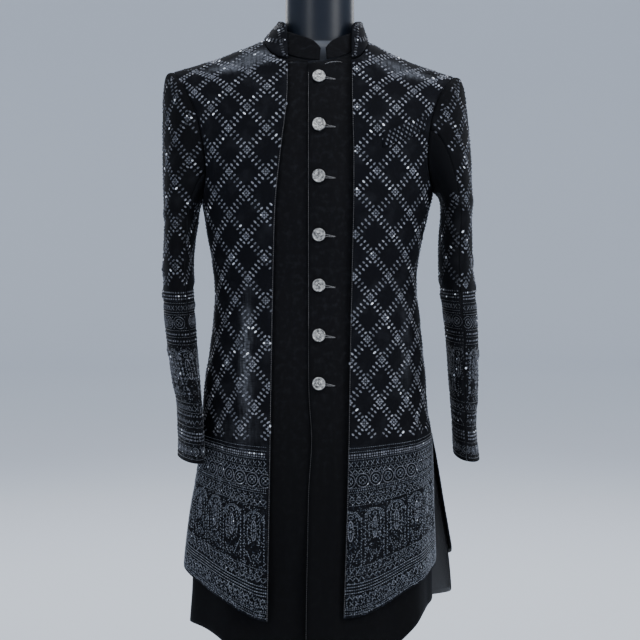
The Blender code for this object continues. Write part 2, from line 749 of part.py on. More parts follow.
class CollarBand:
    """A stand collar that opens in front and stands on a neckline's own points."""

    def __init__(self, seam, rise, top, rounded, cut):
        self.seam = seam
        self.rise = rise
        self.top = top
        self.rounded = rounded
        self.cut = cut
        self.lengths = [0.0]
        for low, high in zip(seam, seam[1:]):
            self.lengths.append(self.lengths[-1] + (high - low).length)

    def on_seam(self, share):
        """A point along the neckline, raised clear of the panels' cloth."""
        reach = self.lengths[-1] * share
        index = 0
        while index < len(self.seam) - 2 and self.lengths[index + 1] < reach:
            index += 1
        run = self.lengths[index + 1] - self.lengths[index]
        place = self.seam[index].lerp(self.seam[index + 1], (reach - self.lengths[index]) / run)
        return place + Vector((0.0, 0.0, self.rise))

    def on_top(self, share):
        """A point of the top edge."""
        side = RIGHT if share < 0.5 else LEFT
        end = self.top.end_right if side == RIGHT else self.top.end_left
        angle = between(180.0, end, abs(2.0 * share - 1.0))
        depth = self.top.front if angle < 90.0 else self.top.back
        x = NECK_X + side * self.top.side * math.sin(math.radians(angle))
        y = -depth * math.cos(math.radians(angle))
        if angle < 90.0:
            run = (90.0 - angle) / (90.0 - end)
            return Vector((x, y, between(self.top.side_z, self.top.end_z, run ** 1.5)))
        return Vector((x, y, between(self.top.side_z, self.top.back_z, smooth((angle - 90.0) / 90.0))))

    def point(self, u, v):
        """Where a share round and a share up the band lie."""
        corner = max(1.0 - min(u, 1.0 - u) / self.rounded, 0.0)
        return self.on_seam(u).lerp(self.on_top(u), v * (1.0 - self.cut * corner ** 3))


def seam_points(right, back, left, start_right, start_left):
    """The neckline from the right front end round the back to the left front end."""
    points = right.neck_points(start_right)
    points += list(reversed(back.halves[RIGHT].neck_points(0.0)))
    points += back.halves[LEFT].neck_points(0.0)[1:]
    points += list(reversed(left.neck_points(start_left)))
    return points


def build_collars(panels, collection):
    """Cut the stand collars."""
    outward = from_axis(NECK_X)
    seam = seam_points(panels["outer_front_right"], panels["outer_back"], panels["outer_front_left"], 0.0, 0.0)
    outer = CollarBand(seam, COLLAR_RISE["outer"], OUTER_COLLAR_TOP, 0.04, 0.06)
    add_shell("outer_collar", 20, 3, outer.point, outward, COLLAR_CLOTH, "velvet", collection)
    seam = seam_points(panels["inner_front_right"], panels["inner_back"], panels["inner_front_left"],
                       -COLLAR_END_RIGHT, COLLAR_END_LEFT)
    inner = CollarBand(seam, COLLAR_RISE["inner"], INNER_COLLAR_TOP, 0.06, 0.30)
    add_shell("inner_collar", 24, 3, inner.point, outward, INNER_CLOTH, "velvet", collection)


def on_cloth(skin, x, z, rise):
    """A point in front of a panel's skin, and the way the cloth faces there."""
    place, normal, _, _ = skin.ray_cast(Vector((x, -1.0, z)), Vector((0.0, 1.0, 0.0)))
    return place + normal * rise, normal


def build_button(name, centre, normal, collection):
    """A turned metal button with a raised rim and a shank."""
    profile = (
        (BUTTON_RADIUS * 0.62, SHANK_DEPTH + BUTTON_DEPTH * 0.66),
        (BUTTON_RADIUS * 0.80, SHANK_DEPTH + BUTTON_DEPTH * 0.60),
        (BUTTON_RADIUS * 0.89, SHANK_DEPTH + BUTTON_DEPTH * 0.78),
        (BUTTON_RADIUS, SHANK_DEPTH + BUTTON_DEPTH * 0.30),
        (BUTTON_RADIUS * 0.90, SHANK_DEPTH),
        (SHANK_RADIUS, SHANK_DEPTH),
        (SHANK_RADIUS, 0.0),
    )
    shape = bmesh.new()
    crown = shape.verts.new((0.0, 0.0, SHANK_DEPTH + BUTTON_DEPTH * 0.90))
    last = crown
    for radius, height in profile:
        vertex = shape.verts.new((radius, 0.0, height))
        shape.edges.new((last, vertex))
        last = vertex
    foot = shape.verts.new((0.0, 0.0, 0.0))
    shape.edges.new((last, foot))
    item = add_object(name, shape, "silver", collection)
    turn = item.modifiers.new("turned", "SCREW")
    turn.steps = 14
    turn.render_steps = 14
    turn.use_merge_vertices = True
    turn.merge_threshold = 0.00005
    turn.use_normal_calculate = True
    facing = Vector((0.0, 0.0, 1.0)).rotation_difference(normal)
    item.matrix_world = Matrix.Translation(centre) @ facing.to_matrix().to_4x4()
    return item


def build_fastenings(skin, collection):
    """Buttons down the lap with a worked hole beside each."""
    for number, z in enumerate(BUTTON_HEIGHTS, start=1):
        centre, normal = on_cloth(skin, BUTTON_X, z, INNER_CLOTH + TRIM_RISE)
        build_button("button_%d" % number, centre, normal, collection)

        def place(u, v, z=z):
            x = BUTTON_X + SHANK_RADIUS + 0.002 + HOLE_LENGTH * u
            return on_cloth(skin, x, z + HOLE_HEIGHT * (v - 0.5), INNER_CLOTH + TRIM_RISE)[0]

        add_shell("buttonhole_%d" % number, 6, 1, place, from_axis(0.0), HOLE_CLOTH, "thread", collection)


def build_welt(skin, collection):
    """The chest pocket's slanted welt."""
    def place(u, v):
        x = between(WELT_INNER.x, WELT_OUTER.x, u)
        z = between(WELT_INNER.z, WELT_OUTER.z, u) + WELT_HEIGHT * v
        return on_cloth(skin, x, z, OUTER_CLOTH + WELT_RISE)[0]

    add_shell("pocket_welt", 8, 3, place, from_axis(0.0), WELT_CLOTH, "velvet", collection)


def form_ring(z):
    """One level section of the form's torso."""
    ring = []
    for index in range(FORM_POINTS):
        swing = 360.0 * index / FORM_POINTS
        face = FRONT if math.cos(math.radians(swing)) >= 0.0 else BACK
        side = LEFT if math.sin(math.radians(swing)) >= 0.0 else RIGHT
        angle = abs((swing + 90.0) % 180.0 - 90.0)
        width = form_width(face, side, z)
        x = width * math.sin(math.radians(angle)) ** (2.0 / ROUNDNESS)
        depth = form_depth(face, z) * math.cos(math.radians(angle)) ** (2.0 / ROUNDNESS)
        depth *= closing(side, x, z, FORM_SETTLED)
        trim = 1.0 - 0.07 * smooth((z - 1.190) / 0.030)
        ring.append(Vector((side * x * trim, face * depth * trim, z)))
    return ring


def form_width(face, side, z):
    """Half width of the form at a height, under the shoulder ridge."""
    wide = half_width(face, side, min(z, 1.10)) + FORM_LINE
    wide = min(wide, FORM_ARM_WIDTH)
    low = 0.0
    high = wide
    if ridge_height(side, high) + FORM_SETTLED > z:
        return wide
    for _ in range(30):
        trial = 0.5 * (low + high)
        if ridge_height(side, trial) + FORM_SETTLED > z:
            low = trial
        else:
            high = trial
    return low


def form_depth(face, z):
    """Depth of the form at a height."""
    return half_depth(face, z) + FORM_LINE


def build_form(collection):
    """The limbless form, smooth from its underside to its neck cap."""
    heights = [FORM_BOTTOM_Z, FORM_BOTTOM_Z + 0.012]
    heights += [row.z for row in GIRTHS if FORM_BOTTOM_Z + 0.04 < row.z < CHEST_Z]
    for row in range(FORM_SHOULDER_ROWS + 1):
        rise = math.sin(math.radians(90.0 * row / FORM_SHOULDER_ROWS))
        heights.append(between(CHEST_Z, FORM_NECK_Z, rise))
    rings = [form_ring(z) for z in heights]
    rings[0] = [Vector((place.x * FORM_TUCK, place.y * FORM_TUCK, place.z)) for place in rings[0]]
    for section in NECKS:
        ring = []
        for index in range(FORM_POINTS):
            swing = math.radians(360.0 * index / FORM_POINTS)
            x = NECK_X + section.half_width * math.sin(swing)
            ring.append(Vector((x, -section.half_depth * math.cos(swing), section.z)))
        rings.append(ring)
    shape = bmesh.new()
    loops = []
    for ring in rings:
        loops.append([shape.verts.new(place) for place in ring])
    for lower, upper in zip(loops, loops[1:]):
        for index in range(FORM_POINTS):
            following = (index + 1) % FORM_POINTS
            shape.faces.new((lower[index], lower[following], upper[following], upper[index]))
    shape.faces.new(list(reversed(loops[0])))
    shape.faces.new(loops[-1])
    bmesh.ops.recalc_face_normals(shape, faces=shape.faces[:])
    add_object("form_body", shape, "gloss_black", collection)


def build_stand(collection):
    """The pole under the form and the round base it stands on."""
    shape = bmesh.new()
    length = FORM_BOTTOM_Z - BASE_HEIGHT - 2.0 * SEAM_GAP
    bmesh.ops.create_cone(shape, cap_ends=True, segments=20, radius1=POLE_RADIUS, radius2=POLE_RADIUS,
                          depth=length, matrix=Matrix.Translation((0.0, 0.0, BASE_HEIGHT + SEAM_GAP + length / 2.0)))
    add_object("stand_pole", shape, "steel", collection)
    shape = bmesh.new()
    bmesh.ops.create_cone(shape, cap_ends=True, segments=40, radius1=BASE_RADIUS, radius2=BASE_RADIUS,
                          depth=BASE_HEIGHT, matrix=Matrix.Translation((0.0, 0.0, BASE_HEIGHT / 2.0)))
    item = add_object("stand_base", shape, "steel", collection)
    edge = item.modifiers.new("edge", "BEVEL")
    edge.width = 0.003
    edge.segments = 2


def main():
    """Build the part."""
    clear_scene()
    collection = bpy.data.collections.new("sherwani_coat")
    bpy.context.scene.collection.children.link(collection)
    panels, skins = build_coat(collection)
    build_sleeves(collection)
    build_collars(panels, collection)
    build_fastenings(skins["inner_front_left"], collection)
    build_welt(skins["outer_front_left"], collection)
    build_form(collection)
    build_stand(collection)


main()
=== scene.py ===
"""A black velvet sherwani, worn open over a buttoned inner coat, on a gloss black dress form."""

import logging
import math
from collections import namedtuple
from dataclasses import dataclass
from enum import Enum
from functools import partial
from typing import Any, Callable

import bmesh
import bpy
import numpy as np
from mathutils import Matrix, Vector
from mathutils.bvhtree import BVHTree
from mathutils.geometry import barycentric_transform


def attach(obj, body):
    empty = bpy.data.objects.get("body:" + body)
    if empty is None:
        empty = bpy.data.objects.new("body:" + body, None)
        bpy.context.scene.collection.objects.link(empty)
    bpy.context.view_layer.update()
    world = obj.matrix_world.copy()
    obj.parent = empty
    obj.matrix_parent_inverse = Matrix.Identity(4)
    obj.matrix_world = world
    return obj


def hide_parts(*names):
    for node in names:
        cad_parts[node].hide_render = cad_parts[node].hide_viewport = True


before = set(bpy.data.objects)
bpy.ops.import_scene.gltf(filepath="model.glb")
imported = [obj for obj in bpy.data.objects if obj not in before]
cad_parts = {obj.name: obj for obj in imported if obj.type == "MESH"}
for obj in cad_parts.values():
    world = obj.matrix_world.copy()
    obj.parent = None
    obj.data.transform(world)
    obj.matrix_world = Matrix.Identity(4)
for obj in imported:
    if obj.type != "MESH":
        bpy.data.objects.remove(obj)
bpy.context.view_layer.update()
log = logging.getLogger("sherwani")


class Way(Enum):
    """A way from the middle of the body, as a sign."""

    @property
    def word(self) -> str:
        """Its name in lower case."""
        return self.name.lower()


class Side(Way):
    """The wearer's right or left."""

    RIGHT = -1
    LEFT = 1


class Face(Way):
    """The front or the back of the body."""

    FRONT = -1
    BACK = 1


# Thickness of the cloths, and each layer's distance from the outer coat's face, in metres.
OUTER_CLOTH = 0.0020
OUTER_LINE = -0.0020
INNER_CLOTH = 0.0016
INNER_LINE = -0.0085
INNER_SETTLED = -0.0054
LAP_LINE = -0.0052
FORM_LINE = -0.0117
FORM_SETTLED = -0.0057
# How far the necks are drawn in, and the gap between pieces that meet in a seam.
NECK_TUCK = 0.0014
SEAM_GAP = 0.0003
# The powers that round the body's level sections and its shoulders.
ROUNDNESS = 2.3
SHOULDER_ROUNDNESS = 2.2
# Heights where the body starts to close, of the shoulder's point, the armpits and the slits' tops.
CHEST_Z = 1.090
SHOULDER_Z = 1.18
ARMPIT_Z = {Side.RIGHT: 0.984, Side.LEFT: 1.000}
SLIT_TOP_Z = 0.628
# How far a slit opens, in degrees round the body.
SLIT_OPEN = 5.0
# The share of the way over the shoulder where the neckline starts, and how far to the left the neck stands.
NECK_SHARE = 0.5
NECK_X = 0.006

Fold = namedtuple("Fold", "angle width depth top bottom")
Neckline = namedtuple("Neckline", "side_x front_z back_z knee")


class Reader:
    """Reads a short table's columns on smooth lines through its rows."""

    def __init__(self, names: str, *rows: tuple[float, ...]) -> None:
        """Keep the columns by name; the first holds the keys.

        Args:
            names: The columns' names in one string, the keys' first.
            rows: The rows of numbers, one value for each column.
        """
        table = np.array(rows).T
        self.keys = table[0]
        self.step = np.diff(self.keys)
        self.lines = {}
        for name, values in zip(names.split()[1:], table[1:]):
            slope = np.diff(values) / self.step
            meet = np.where(slope[1:] * slope[:-1] > 0.0, 0.5 * (slope[1:] + slope[:-1]), 0.0)
            self.lines[name] = (values, np.append(slope[0], meet), np.append(meet, slope[-1]))

    def __call__(self, column: str, value: Any) -> Any:
        """The column's value.

        Args:
            column: The table's column to read.
            value: One key or an array of keys.

        Returns:
            One number or an array of the same shape.
        """
        values, leave, arrive = self.lines[column]
        value = np.clip(value, self.keys[0], self.keys[-1])
        row = np.clip(np.searchsorted(self.keys, value, side="right") - 1, 0, len(self.step) - 1)
        step = self.step[row]
        return glide((value - self.keys[row]) / step, values[row], values[row + 1], step * leave[row],
                     step * arrive[row])


# Half widths of the outer coat's quarters and half depths of its faces.
GIRTHS = Reader(
    "z front_right front_left back_right back_left front back",
    (0.23, 0.213, 0.193, 0.213, 0.223, 0.148, 0.152), (0.35, 0.211, 0.192, 0.209, 0.224, 0.143, 0.148),
    (0.417, 0.2083, 0.1906, 0.206, 0.2195, 0.14, 0.145), (0.468, 0.2032, 0.1886, 0.202, 0.2115, 0.137, 0.141),
    (0.516, 0.1965, 0.1864, 0.1975, 0.203, 0.134, 0.137), (0.565, 0.1868, 0.1852, 0.189, 0.1945, 0.13, 0.133),
    (0.628, 0.18, 0.1815, 0.18, 0.182, 0.124, 0.128), (0.66, 0.1778, 0.1755, 0.1778, 0.1755, 0.121, 0.125),
    (0.708, 0.1742, 0.1722, 0.1742, 0.1722, 0.117, 0.118), (0.755, 0.1667, 0.1675, 0.1667, 0.1675, 0.113, 0.109),
    (0.803, 0.1605, 0.1628, 0.1605, 0.1628, 0.11, 0.1), (0.857, 0.1583, 0.157, 0.1583, 0.157, 0.11, 0.095),
    (0.897, 0.1628, 0.1597, 0.1628, 0.1597, 0.114, 0.1), (0.944, 0.1704, 0.169, 0.1704, 0.169, 0.12, 0.108),
    (0.998, 0.18, 0.1815, 0.18, 0.1815, 0.126, 0.114), (1.04, 0.189, 0.19, 0.189, 0.19, 0.127, 0.116),
    (1.1, 0.204, 0.201, 0.204, 0.201, 0.124, 0.113), (1.18, 0.222, 0.2145, 0.222, 0.2145, 0.114, 0.102),
    (1.3, 0.222, 0.2145, 0.222, 0.2145, 0.104, 0.092),
)
# How far the inner coat's skirt is drawn in.
TUCKS = Reader(
    "z right left",
    (0.23, 0.004, 0.0), (0.322, 0.005, 0.0), (0.39, 0.008, 0.0), (0.52, 0.0, 0.0), (1.3, 0.0, 0.0),
)
# Heights of the shoulder ridge, by distance from the middle.
RIDGES = Reader(
    "x right left",
    (0.0, 1.257, 1.257), (0.05, 1.248, 1.248), (0.078, 1.237, 1.2355), (0.108, 1.225, 1.22), (0.15, 1.2085, 1.201),
    (0.19, 1.1965, 1.1875), (0.215, 1.1895, 1.18), (0.23, 1.185, 1.176),
)
# How far out an armhole's edge runs, as shares of the half width and of its own height.
ARMHOLES = Reader(
    "height front back",
    (0.0, 1.0, 1.0), (0.08, 0.955, 0.96), (0.23, 0.895, 0.905), (0.48, 0.86, 0.875), (0.73, 0.87, 0.885),
    (0.88, 0.915, 0.925), (1.0, 1.0, 1.0),
)
# How far from the middle the outer coat's front edges hang.
FRONT_EDGES = Reader(
    "z right left",
    (0.23, 0.074, 0.04), (0.35, 0.0724, 0.0411), (0.54, 0.069, 0.0469), (0.767, 0.0654, 0.0511),
    (0.917, 0.0621, 0.0539), (0.991, 0.059, 0.0552), (1.065, 0.0514, 0.0551), (1.138, 0.0424, 0.0535),
    (1.21, 0.0415, 0.0534), (1.3, 0.0415, 0.0534),
)
# Heights of the hems, by share of the way from the middle to the side.
HEMS = Reader(
    "share outer_right outer_left inner_right inner_left",
    (0.0, 0.356, 0.3625, 0.252, 0.252), (0.08, 0.3595, 0.364, 0.254, 0.254), (0.3, 0.384, 0.381, 0.278, 0.272),
    (0.5, 0.3965, 0.402, 0.316, 0.316), (0.7, 0.4075, 0.4125, 0.329, 0.3495), (0.88, 0.419, 0.4185, 0.332, 0.36),
    (0.96, 0.421, 0.4235, 0.33, 0.363), (1.0, 0.424, 0.43, 0.328, 0.366),
)
BACK_HEMS = Reader(
    "share outer inner",
    (0.0, 0.372, 0.3), (0.4, 0.385, 0.312), (0.75, 0.408, 0.343), (0.94, 0.425, 0.361), (1.0, 0.436, 0.37),
)
# The hanging sleeves: both sides, the middle and half depth of their sections, and their turn.
RIGHT_SLEEVE = Reader(
    "z outer inner centre_y half_depth turn",
    (0.58, 0.219, 0.17, -0.05, 0.059, 17.0), (0.612, 0.217, 0.17, -0.048, 0.059, 17.0),
    (0.644, 0.2185, 0.1715, -0.045, 0.0595, 17.0), (0.676, 0.22, 0.1735, -0.041, 0.06, 16.0),
    (0.708, 0.2255, 0.1775, -0.036, 0.061, 13.0), (0.755, 0.2315, 0.1825, -0.027, 0.063, 9.0),
    (0.803, 0.2365, 0.187, -0.019, 0.065, 5.0), (0.834, 0.2388, 0.1898, -0.012, 0.066, 4.0),
    (0.897, 0.2384, 0.191, -0.006, 0.068, 2.0), (0.928, 0.237, 0.188, -0.003, 0.0695, 1.0),
    (0.96, 0.2355, 0.1835, 0.0, 0.071, 0.0),
)
LEFT_SLEEVE = Reader(
    "z outer inner centre_y half_depth turn",
    (0.58, 0.258, 0.215, -0.022, 0.06, 5.0), (0.612, 0.2535, 0.2135, -0.021, 0.06, 5.0),
    (0.644, 0.2515, 0.212, -0.02, 0.0605, 5.0), (0.676, 0.253, 0.2095, -0.019, 0.061, 5.0),
    (0.708, 0.254, 0.207, -0.017, 0.062, 5.0), (0.755, 0.254, 0.204, -0.014, 0.0635, 4.0),
    (0.803, 0.2525, 0.1995, -0.011, 0.065, 3.0), (0.834, 0.2505, 0.1955, -0.009, 0.066, 3.0),
    (0.897, 0.2445, 0.1912, -0.005, 0.068, 2.0), (0.928, 0.2432, 0.192, -0.003, 0.0695, 1.0),
    (0.96, 0.243, 0.1945, 0.0, 0.071, 0.0),
)
# The skirt's upright folds.
FOLDS = {
    (Face.FRONT, Side.RIGHT): (
        Fold(36.0, 8.0, 0.005, 0.9, 0.48), Fold(57.0, 9.0, -0.0035, 0.84, 0.42), Fold(75.0, 7.0, 0.0035, 0.78, 0.4),
    ),
    (Face.FRONT, Side.LEFT): (
        Fold(33.0, 9.0, -0.003, 0.86, 0.42), Fold(52.0, 8.0, 0.0045, 0.8, 0.44), Fold(72.0, 7.0, -0.003, 0.76, 0.4),
    ),
    (Face.BACK, Side.RIGHT): (
        Fold(17.0, 8.0, 0.0045, 0.88, 0.42), Fold(41.0, 9.0, -0.004, 0.82, 0.4), Fold(64.0, 8.0, 0.005, 0.8, 0.38),
    ),
    (Face.BACK, Side.LEFT): (
        Fold(12.0, 7.0, -0.003, 0.86, 0.42), Fold(34.0, 9.0, 0.0055, 0.86, 0.38), Fold(59.0, 8.0, -0.004, 0.8, 0.4),
        Fold(77.0, 7.0, 0.0035, 0.76, 0.4),
    ),
}


def between(low: Any, high: Any, share: Any) -> Any:
    """The value this share of the way from low to high."""
    return low + (high - low) * share


def smooth(share: Any) -> Any:
    """A soft step from 0 to 1."""
    share = np.clip(share, 0.0, 1.0)
    return share * share * (3.0 - 2.0 * share)


def glide(t: Any, start: Any, end: Any, leave: Any, arrive: Any) -> Any:
    """The place a share of the way along a curve with a given direction at both ends."""
    placed = start * ((2.0 * t - 3.0) * t * t + 1.0) + end * ((3.0 - 2.0 * t) * t * t)
    return placed + leave * (((t - 2.0) * t + 1.0) * t) + arrive * ((t - 1.0) * t * t)


def sine(degrees: Any) -> Any:
    """The sine of an angle in degrees."""
    return np.sin(np.radians(degrees))


def cosine(degrees: Any) -> Any:
    """The cosine of an angle in degrees."""
    return np.cos(np.radians(degrees))


def swung(reach: float, turn: float) -> tuple[float, float]:
    """How far across and up a reach goes when turned by degrees."""
    return reach * math.cos(math.radians(turn)), reach * math.sin(math.radians(turn))


def runs(points: np.ndarray, axis: int) -> np.ndarray:
    """The length run along one axis of a grid of points, from 0."""
    step = np.cumsum(np.linalg.norm(np.diff(points, axis=axis), axis=-1), axis=axis)
    return np.concatenate([0.0 * np.take(step, [0], axis=axis), step], axis=axis)


def half_width(face: Face, side: Side, z: Any) -> Any:
    """Half width of the outer coat's face at a height."""
    return GIRTHS(face.word + "_" + side.word, z)


def ridge_height(side: Side, x: Any) -> Any:
    """Height of the shoulder ridge above a distance from the middle."""
    return RIDGES(side.word, np.abs(x))


def swing_at(share: Any) -> Any:
    """Angle round the body where it is this share of its half width from the middle."""
    return np.degrees(np.arcsin(np.minimum(share, 1.0) ** (ROUNDNESS / 2.0)))


def across(face: Face, side: Side, angle: Any, z: Any, line: Any) -> Any:
    """Distance from the middle at an angle round the body."""
    return np.sign(angle) * (half_width(face, side, z) + line) * sine(np.abs(angle)) ** (2.0 / ROUNDNESS)


def closing(side: Side, x: Any, z: Any, line: Any) -> Any:
    """How much of the body's depth is left near the shoulder ridge."""
    height = np.clip((z - CHEST_Z) / (ridge_height(side, x) + line - CHEST_Z), 0.0, 1.0)
    return (1.0 - height ** SHOULDER_ROUNDNESS) ** (1.0 / SHOULDER_ROUNDNESS)


def body_point(face: Face, side: Side, angle: Any, z: Any, line: Any, lift: Any = 0.0) -> np.ndarray:
    """Points on the body, a layer's distance from the outer coat's face.

    Args:
        face: Front or back.
        side: The wearer's right or left.
        angle: Degrees round from the middle.
        z: Heights.
        line: The layer's distance.
        lift: How far folds stand out.

    Returns:
        An array of points.
    """
    x = across(face, side, angle, z, line + lift)
    turn = cosine(np.minimum(np.abs(angle), 90.0))
    depth = (GIRTHS(face.word, z) + line + lift) * np.maximum(turn, 0.0) ** (2.0 / ROUNDNESS)
    y = face.value * depth * closing(side, x, z, line)
    return np.stack(np.broadcast_arrays(side.value * x, y, z), axis=-1)


def armhole_angle(face: Face, side: Side, z: Any) -> Any:
    """Angle of the armhole's edge, or of the side seam and slit below it.

    Args:
        face: Front or back.
        side: The wearer's right or left.
        z: Heights.

    Returns:
        Degrees round from the middle.
    """
    armpit = ARMPIT_Z[side]
    top = ridge_height(side, half_width(face, side, SHOULDER_Z))
    height = np.clip((z - armpit) / (top - armpit), 0.0, 1.0)
    slit = 90.0 - SLIT_OPEN * smooth((SLIT_TOP_Z - z) / 0.15)
    return np.where(z <= armpit, slit, swing_at(ARMHOLES(face.word, height)))


def fold_lift(face: Face, side: Side, angle: Any, z: Any) -> Any:
    """How far the skirt's upright folds stand out.

    Args:
        face: Front or back.
        side: The wearer's right or left.
        angle: Degrees round from the middle.
        z: Heights.

    Returns:
        The lift, as an array.
    """
    lift = np.zeros(np.broadcast(angle, z).shape)
    for fold in FOLDS[face, side]:
        run = smooth((fold.top - z) / (fold.top - fold.bottom))
        lift = lift + fold.depth * run * np.exp(-(((angle - fold.angle) / fold.width) ** 2))
    return lift


@dataclass(frozen=True)
class Crease:
    """A soft ridge in the cloth, with a shallow trough beside it.

    The ends are flat places on the cloth: distance round from the middle and height.
    """

    s0: float
    t0: float
    s1: float
    t1: float
    width: float
    depth: float

    def rise(self, s: np.ndarray, t: np.ndarray) -> np.ndarray:
        """How far the crease lifts the cloth at flat places.

        Args:
            s: Distances round from the middle on the flat cloth.
            t: Heights on the flat cloth.

        Returns:
            The lift, as an array.
        """
        ds = self.s1 - self.s0
        dt = self.t1 - self.t0
        length = math.hypot(ds, dt)
        along = ((s - self.s0) * ds + (t - self.t0) * dt) / length ** 2
        off = ((s - self.s0) * dt - (t - self.t0) * ds) / length / self.width
        fade = smooth(along * 3.0) * smooth((1.0 - along) * 3.0)
        bend = off + 0.35 * np.sin(5.0 * along + 40.0 * self.s0)
        return self.depth * fade * (np.exp(-bend ** 2) - 0.55 * np.exp(-(bend - 1.7) ** 2))


@dataclass
class Panel:
    """The surface of one front, from its inner edge to the side and from hem to shoulder."""

    face: Face
    side: Side
    line: float
    edge: Callable
    neckline: Neckline
    hem: Callable

    def first_angle(self, x: Any, z: Any) -> Any:
        """Angle of a distance from the middle, such as the piece's inner edge."""
        return np.sign(x) * swing_at(np.abs(x) / (half_width(self.face, self.side, z) + self.line))

    def last_angle(self, z: Any) -> Any:
        """Angle of the armhole's edge or the side seam."""
        return armhole_angle(self.face, self.side, z) - np.degrees(SEAM_GAP / half_width(self.face, self.side, z))

    def line_at(self, x: Any, z: Any, settle: Any) -> Any:
        """Layer distance, which shrinks where the inner coat settles on the shoulder.

        Args:
            x: Distances from the middle.
            z: Heights.
            settle: How far the cloth has settled on the shoulder, from 0 to 1.

        Returns:
            The distance from the outer coat's face.
        """
        if self.line != INNER_LINE:
            return self.line
        tuck = TUCKS(self.side.word, z) + NECK_TUCK * settle * smooth((0.110 - np.abs(x)) / 0.030)
        return between(self.line, INNER_SETTLED, settle) - tuck

    def place(self, angle: Any, z: Any, settle: Any) -> np.ndarray:
        """Points of the cloth's inner skin.

        Args:
            angle: Degrees round from the middle.
            z: Heights.
            settle: How far the cloth has settled on the shoulder, from 0 to 1.

        Returns:
            An array of points.
        """
        x = across(self.face, self.side, angle, z, self.line)
        lift = fold_lift(self.face, self.side, angle, z)
        spot = body_point(self.face, self.side, angle, z, self.line_at(x, z, settle), lift)
        spot[..., 1] += np.where(z > CHEST_Z, self.face.value * SEAM_GAP * 0.5, 0.0)
        return spot

    def climb(self, x: Any, z: Any, settle: Any) -> Any:
        """The height from the chest line to the shoulder ridge over a place."""
        return ridge_height(self.side, x) + self.line_at(x, z, settle) - CHEST_Z

    def over_shoulder(self, angle_at: Callable, z: np.ndarray, settle: np.ndarray, rise: np.ndarray) -> np.ndarray:
        """Points a share of the way up to the ridge, whose angle and height depend on each other.

        Args:
            angle_at: The angles at given heights.
            z: The heights to start from.
            settle: How far the cloth has settled on the shoulder.
            rise: The share of the way up.

        Returns:
            An array of points.
        """
        for _ in range(14):
            angle = angle_at(z)
            z = CHEST_Z + self.climb(across(self.face, self.side, angle, z, self.line), z, settle) * rise
        return self.place(angle, z, settle)

    def neck_top(self) -> float:
        """Height of the neckline where it meets the shoulder seam."""
        side_x = self.neckline.side_x
        return CHEST_Z + self.climb(side_x, ridge_height(self.side, side_x), 1.0)

    def inner_corner(self, share: np.ndarray) -> tuple[np.ndarray, np.ndarray]:
        """The inner edge, and above the throat the neckline, as distances and heights.

        Args:
            share: The share of the way up, from 0 to 1.

        Returns:
            Distances from the middle and heights.
        """
        throat = self.neckline.front_z
        rise = sine(90.0 * np.minimum(share, NECK_SHARE)) / sine(90.0 * NECK_SHARE)
        low_z = between(CHEST_Z, throat, rise ** (2.0 / SHOULDER_ROUNDNESS))
        turn = 90.0 * np.clip((share - NECK_SHARE) / (1.0 - NECK_SHARE), 0.0, 1.0)
        x = between(self.edge(throat), self.neckline.side_x, sine(turn))
        z = between(self.neck_top(), throat, cosine(turn))
        low = share <= NECK_SHARE
        return np.where(low, self.edge(low_z), x), np.where(low, low_z, z)

    def upper(self, u: np.ndarray, share: np.ndarray) -> np.ndarray:
        """Points over the shoulder.

        Args:
            u: The share of the way across, from 0 to 1.
            share: The share of the way up, from 0 to 1.

        Returns:
            An array of points.
        """
        x, z = self.inner_corner(share)
        settle = smooth((90.0 * share - 30.0) / 55.0)
        corner = np.minimum((z - CHEST_Z) / self.climb(x, z, settle), 1.0)
        rise = between(sine(90.0 * share) ** (2.0 / SHOULDER_ROUNDNESS), corner, (1.0 - u) ** 2)
        return self.over_shoulder(lambda level: between(self.first_angle(x, level), self.last_angle(level), u),
                                  z + 0.0 * u, settle, rise)

    def lower(self, u: np.ndarray, share: np.ndarray) -> np.ndarray:
        """Points below the chest line."""
        z = between(self.hem(u), CHEST_Z, share)
        return self.place(between(self.first_angle(self.edge(z), z), self.last_angle(z), u), z, 0.0)

    def skin(self, columns: int, low_rows: int, top_rows: int) -> np.ndarray:
        """The whole piece as a grid of points, hem first.

        Args:
            columns: Steps across.
            low_rows: Steps from the hem to the chest.
            top_rows: Steps from the chest to the shoulder.

        Returns:
            An array of rows, columns and three.
        """
        u = np.linspace(0.0, 1.0, columns + 1)[None, :]
        low = self.lower(u, np.linspace(0.0, 1.0, low_rows + 1)[:, None])
        top = self.upper(u, np.linspace(0.0, 1.0, top_rows + 1)[1:, None])
        return np.concatenate([low, top])


class LapPanel(Panel):
    """The inner coat's left front, which laps over the right front."""

    def line_at(self, x: Any, z: Any, settle: Any) -> Any:
        """Layer distance, further out where it laps over."""
        over = (LAP_LINE - self.line) * (1.0 - smooth((x - 0.029) / 0.010))
        return super().line_at(x, z, settle) + over


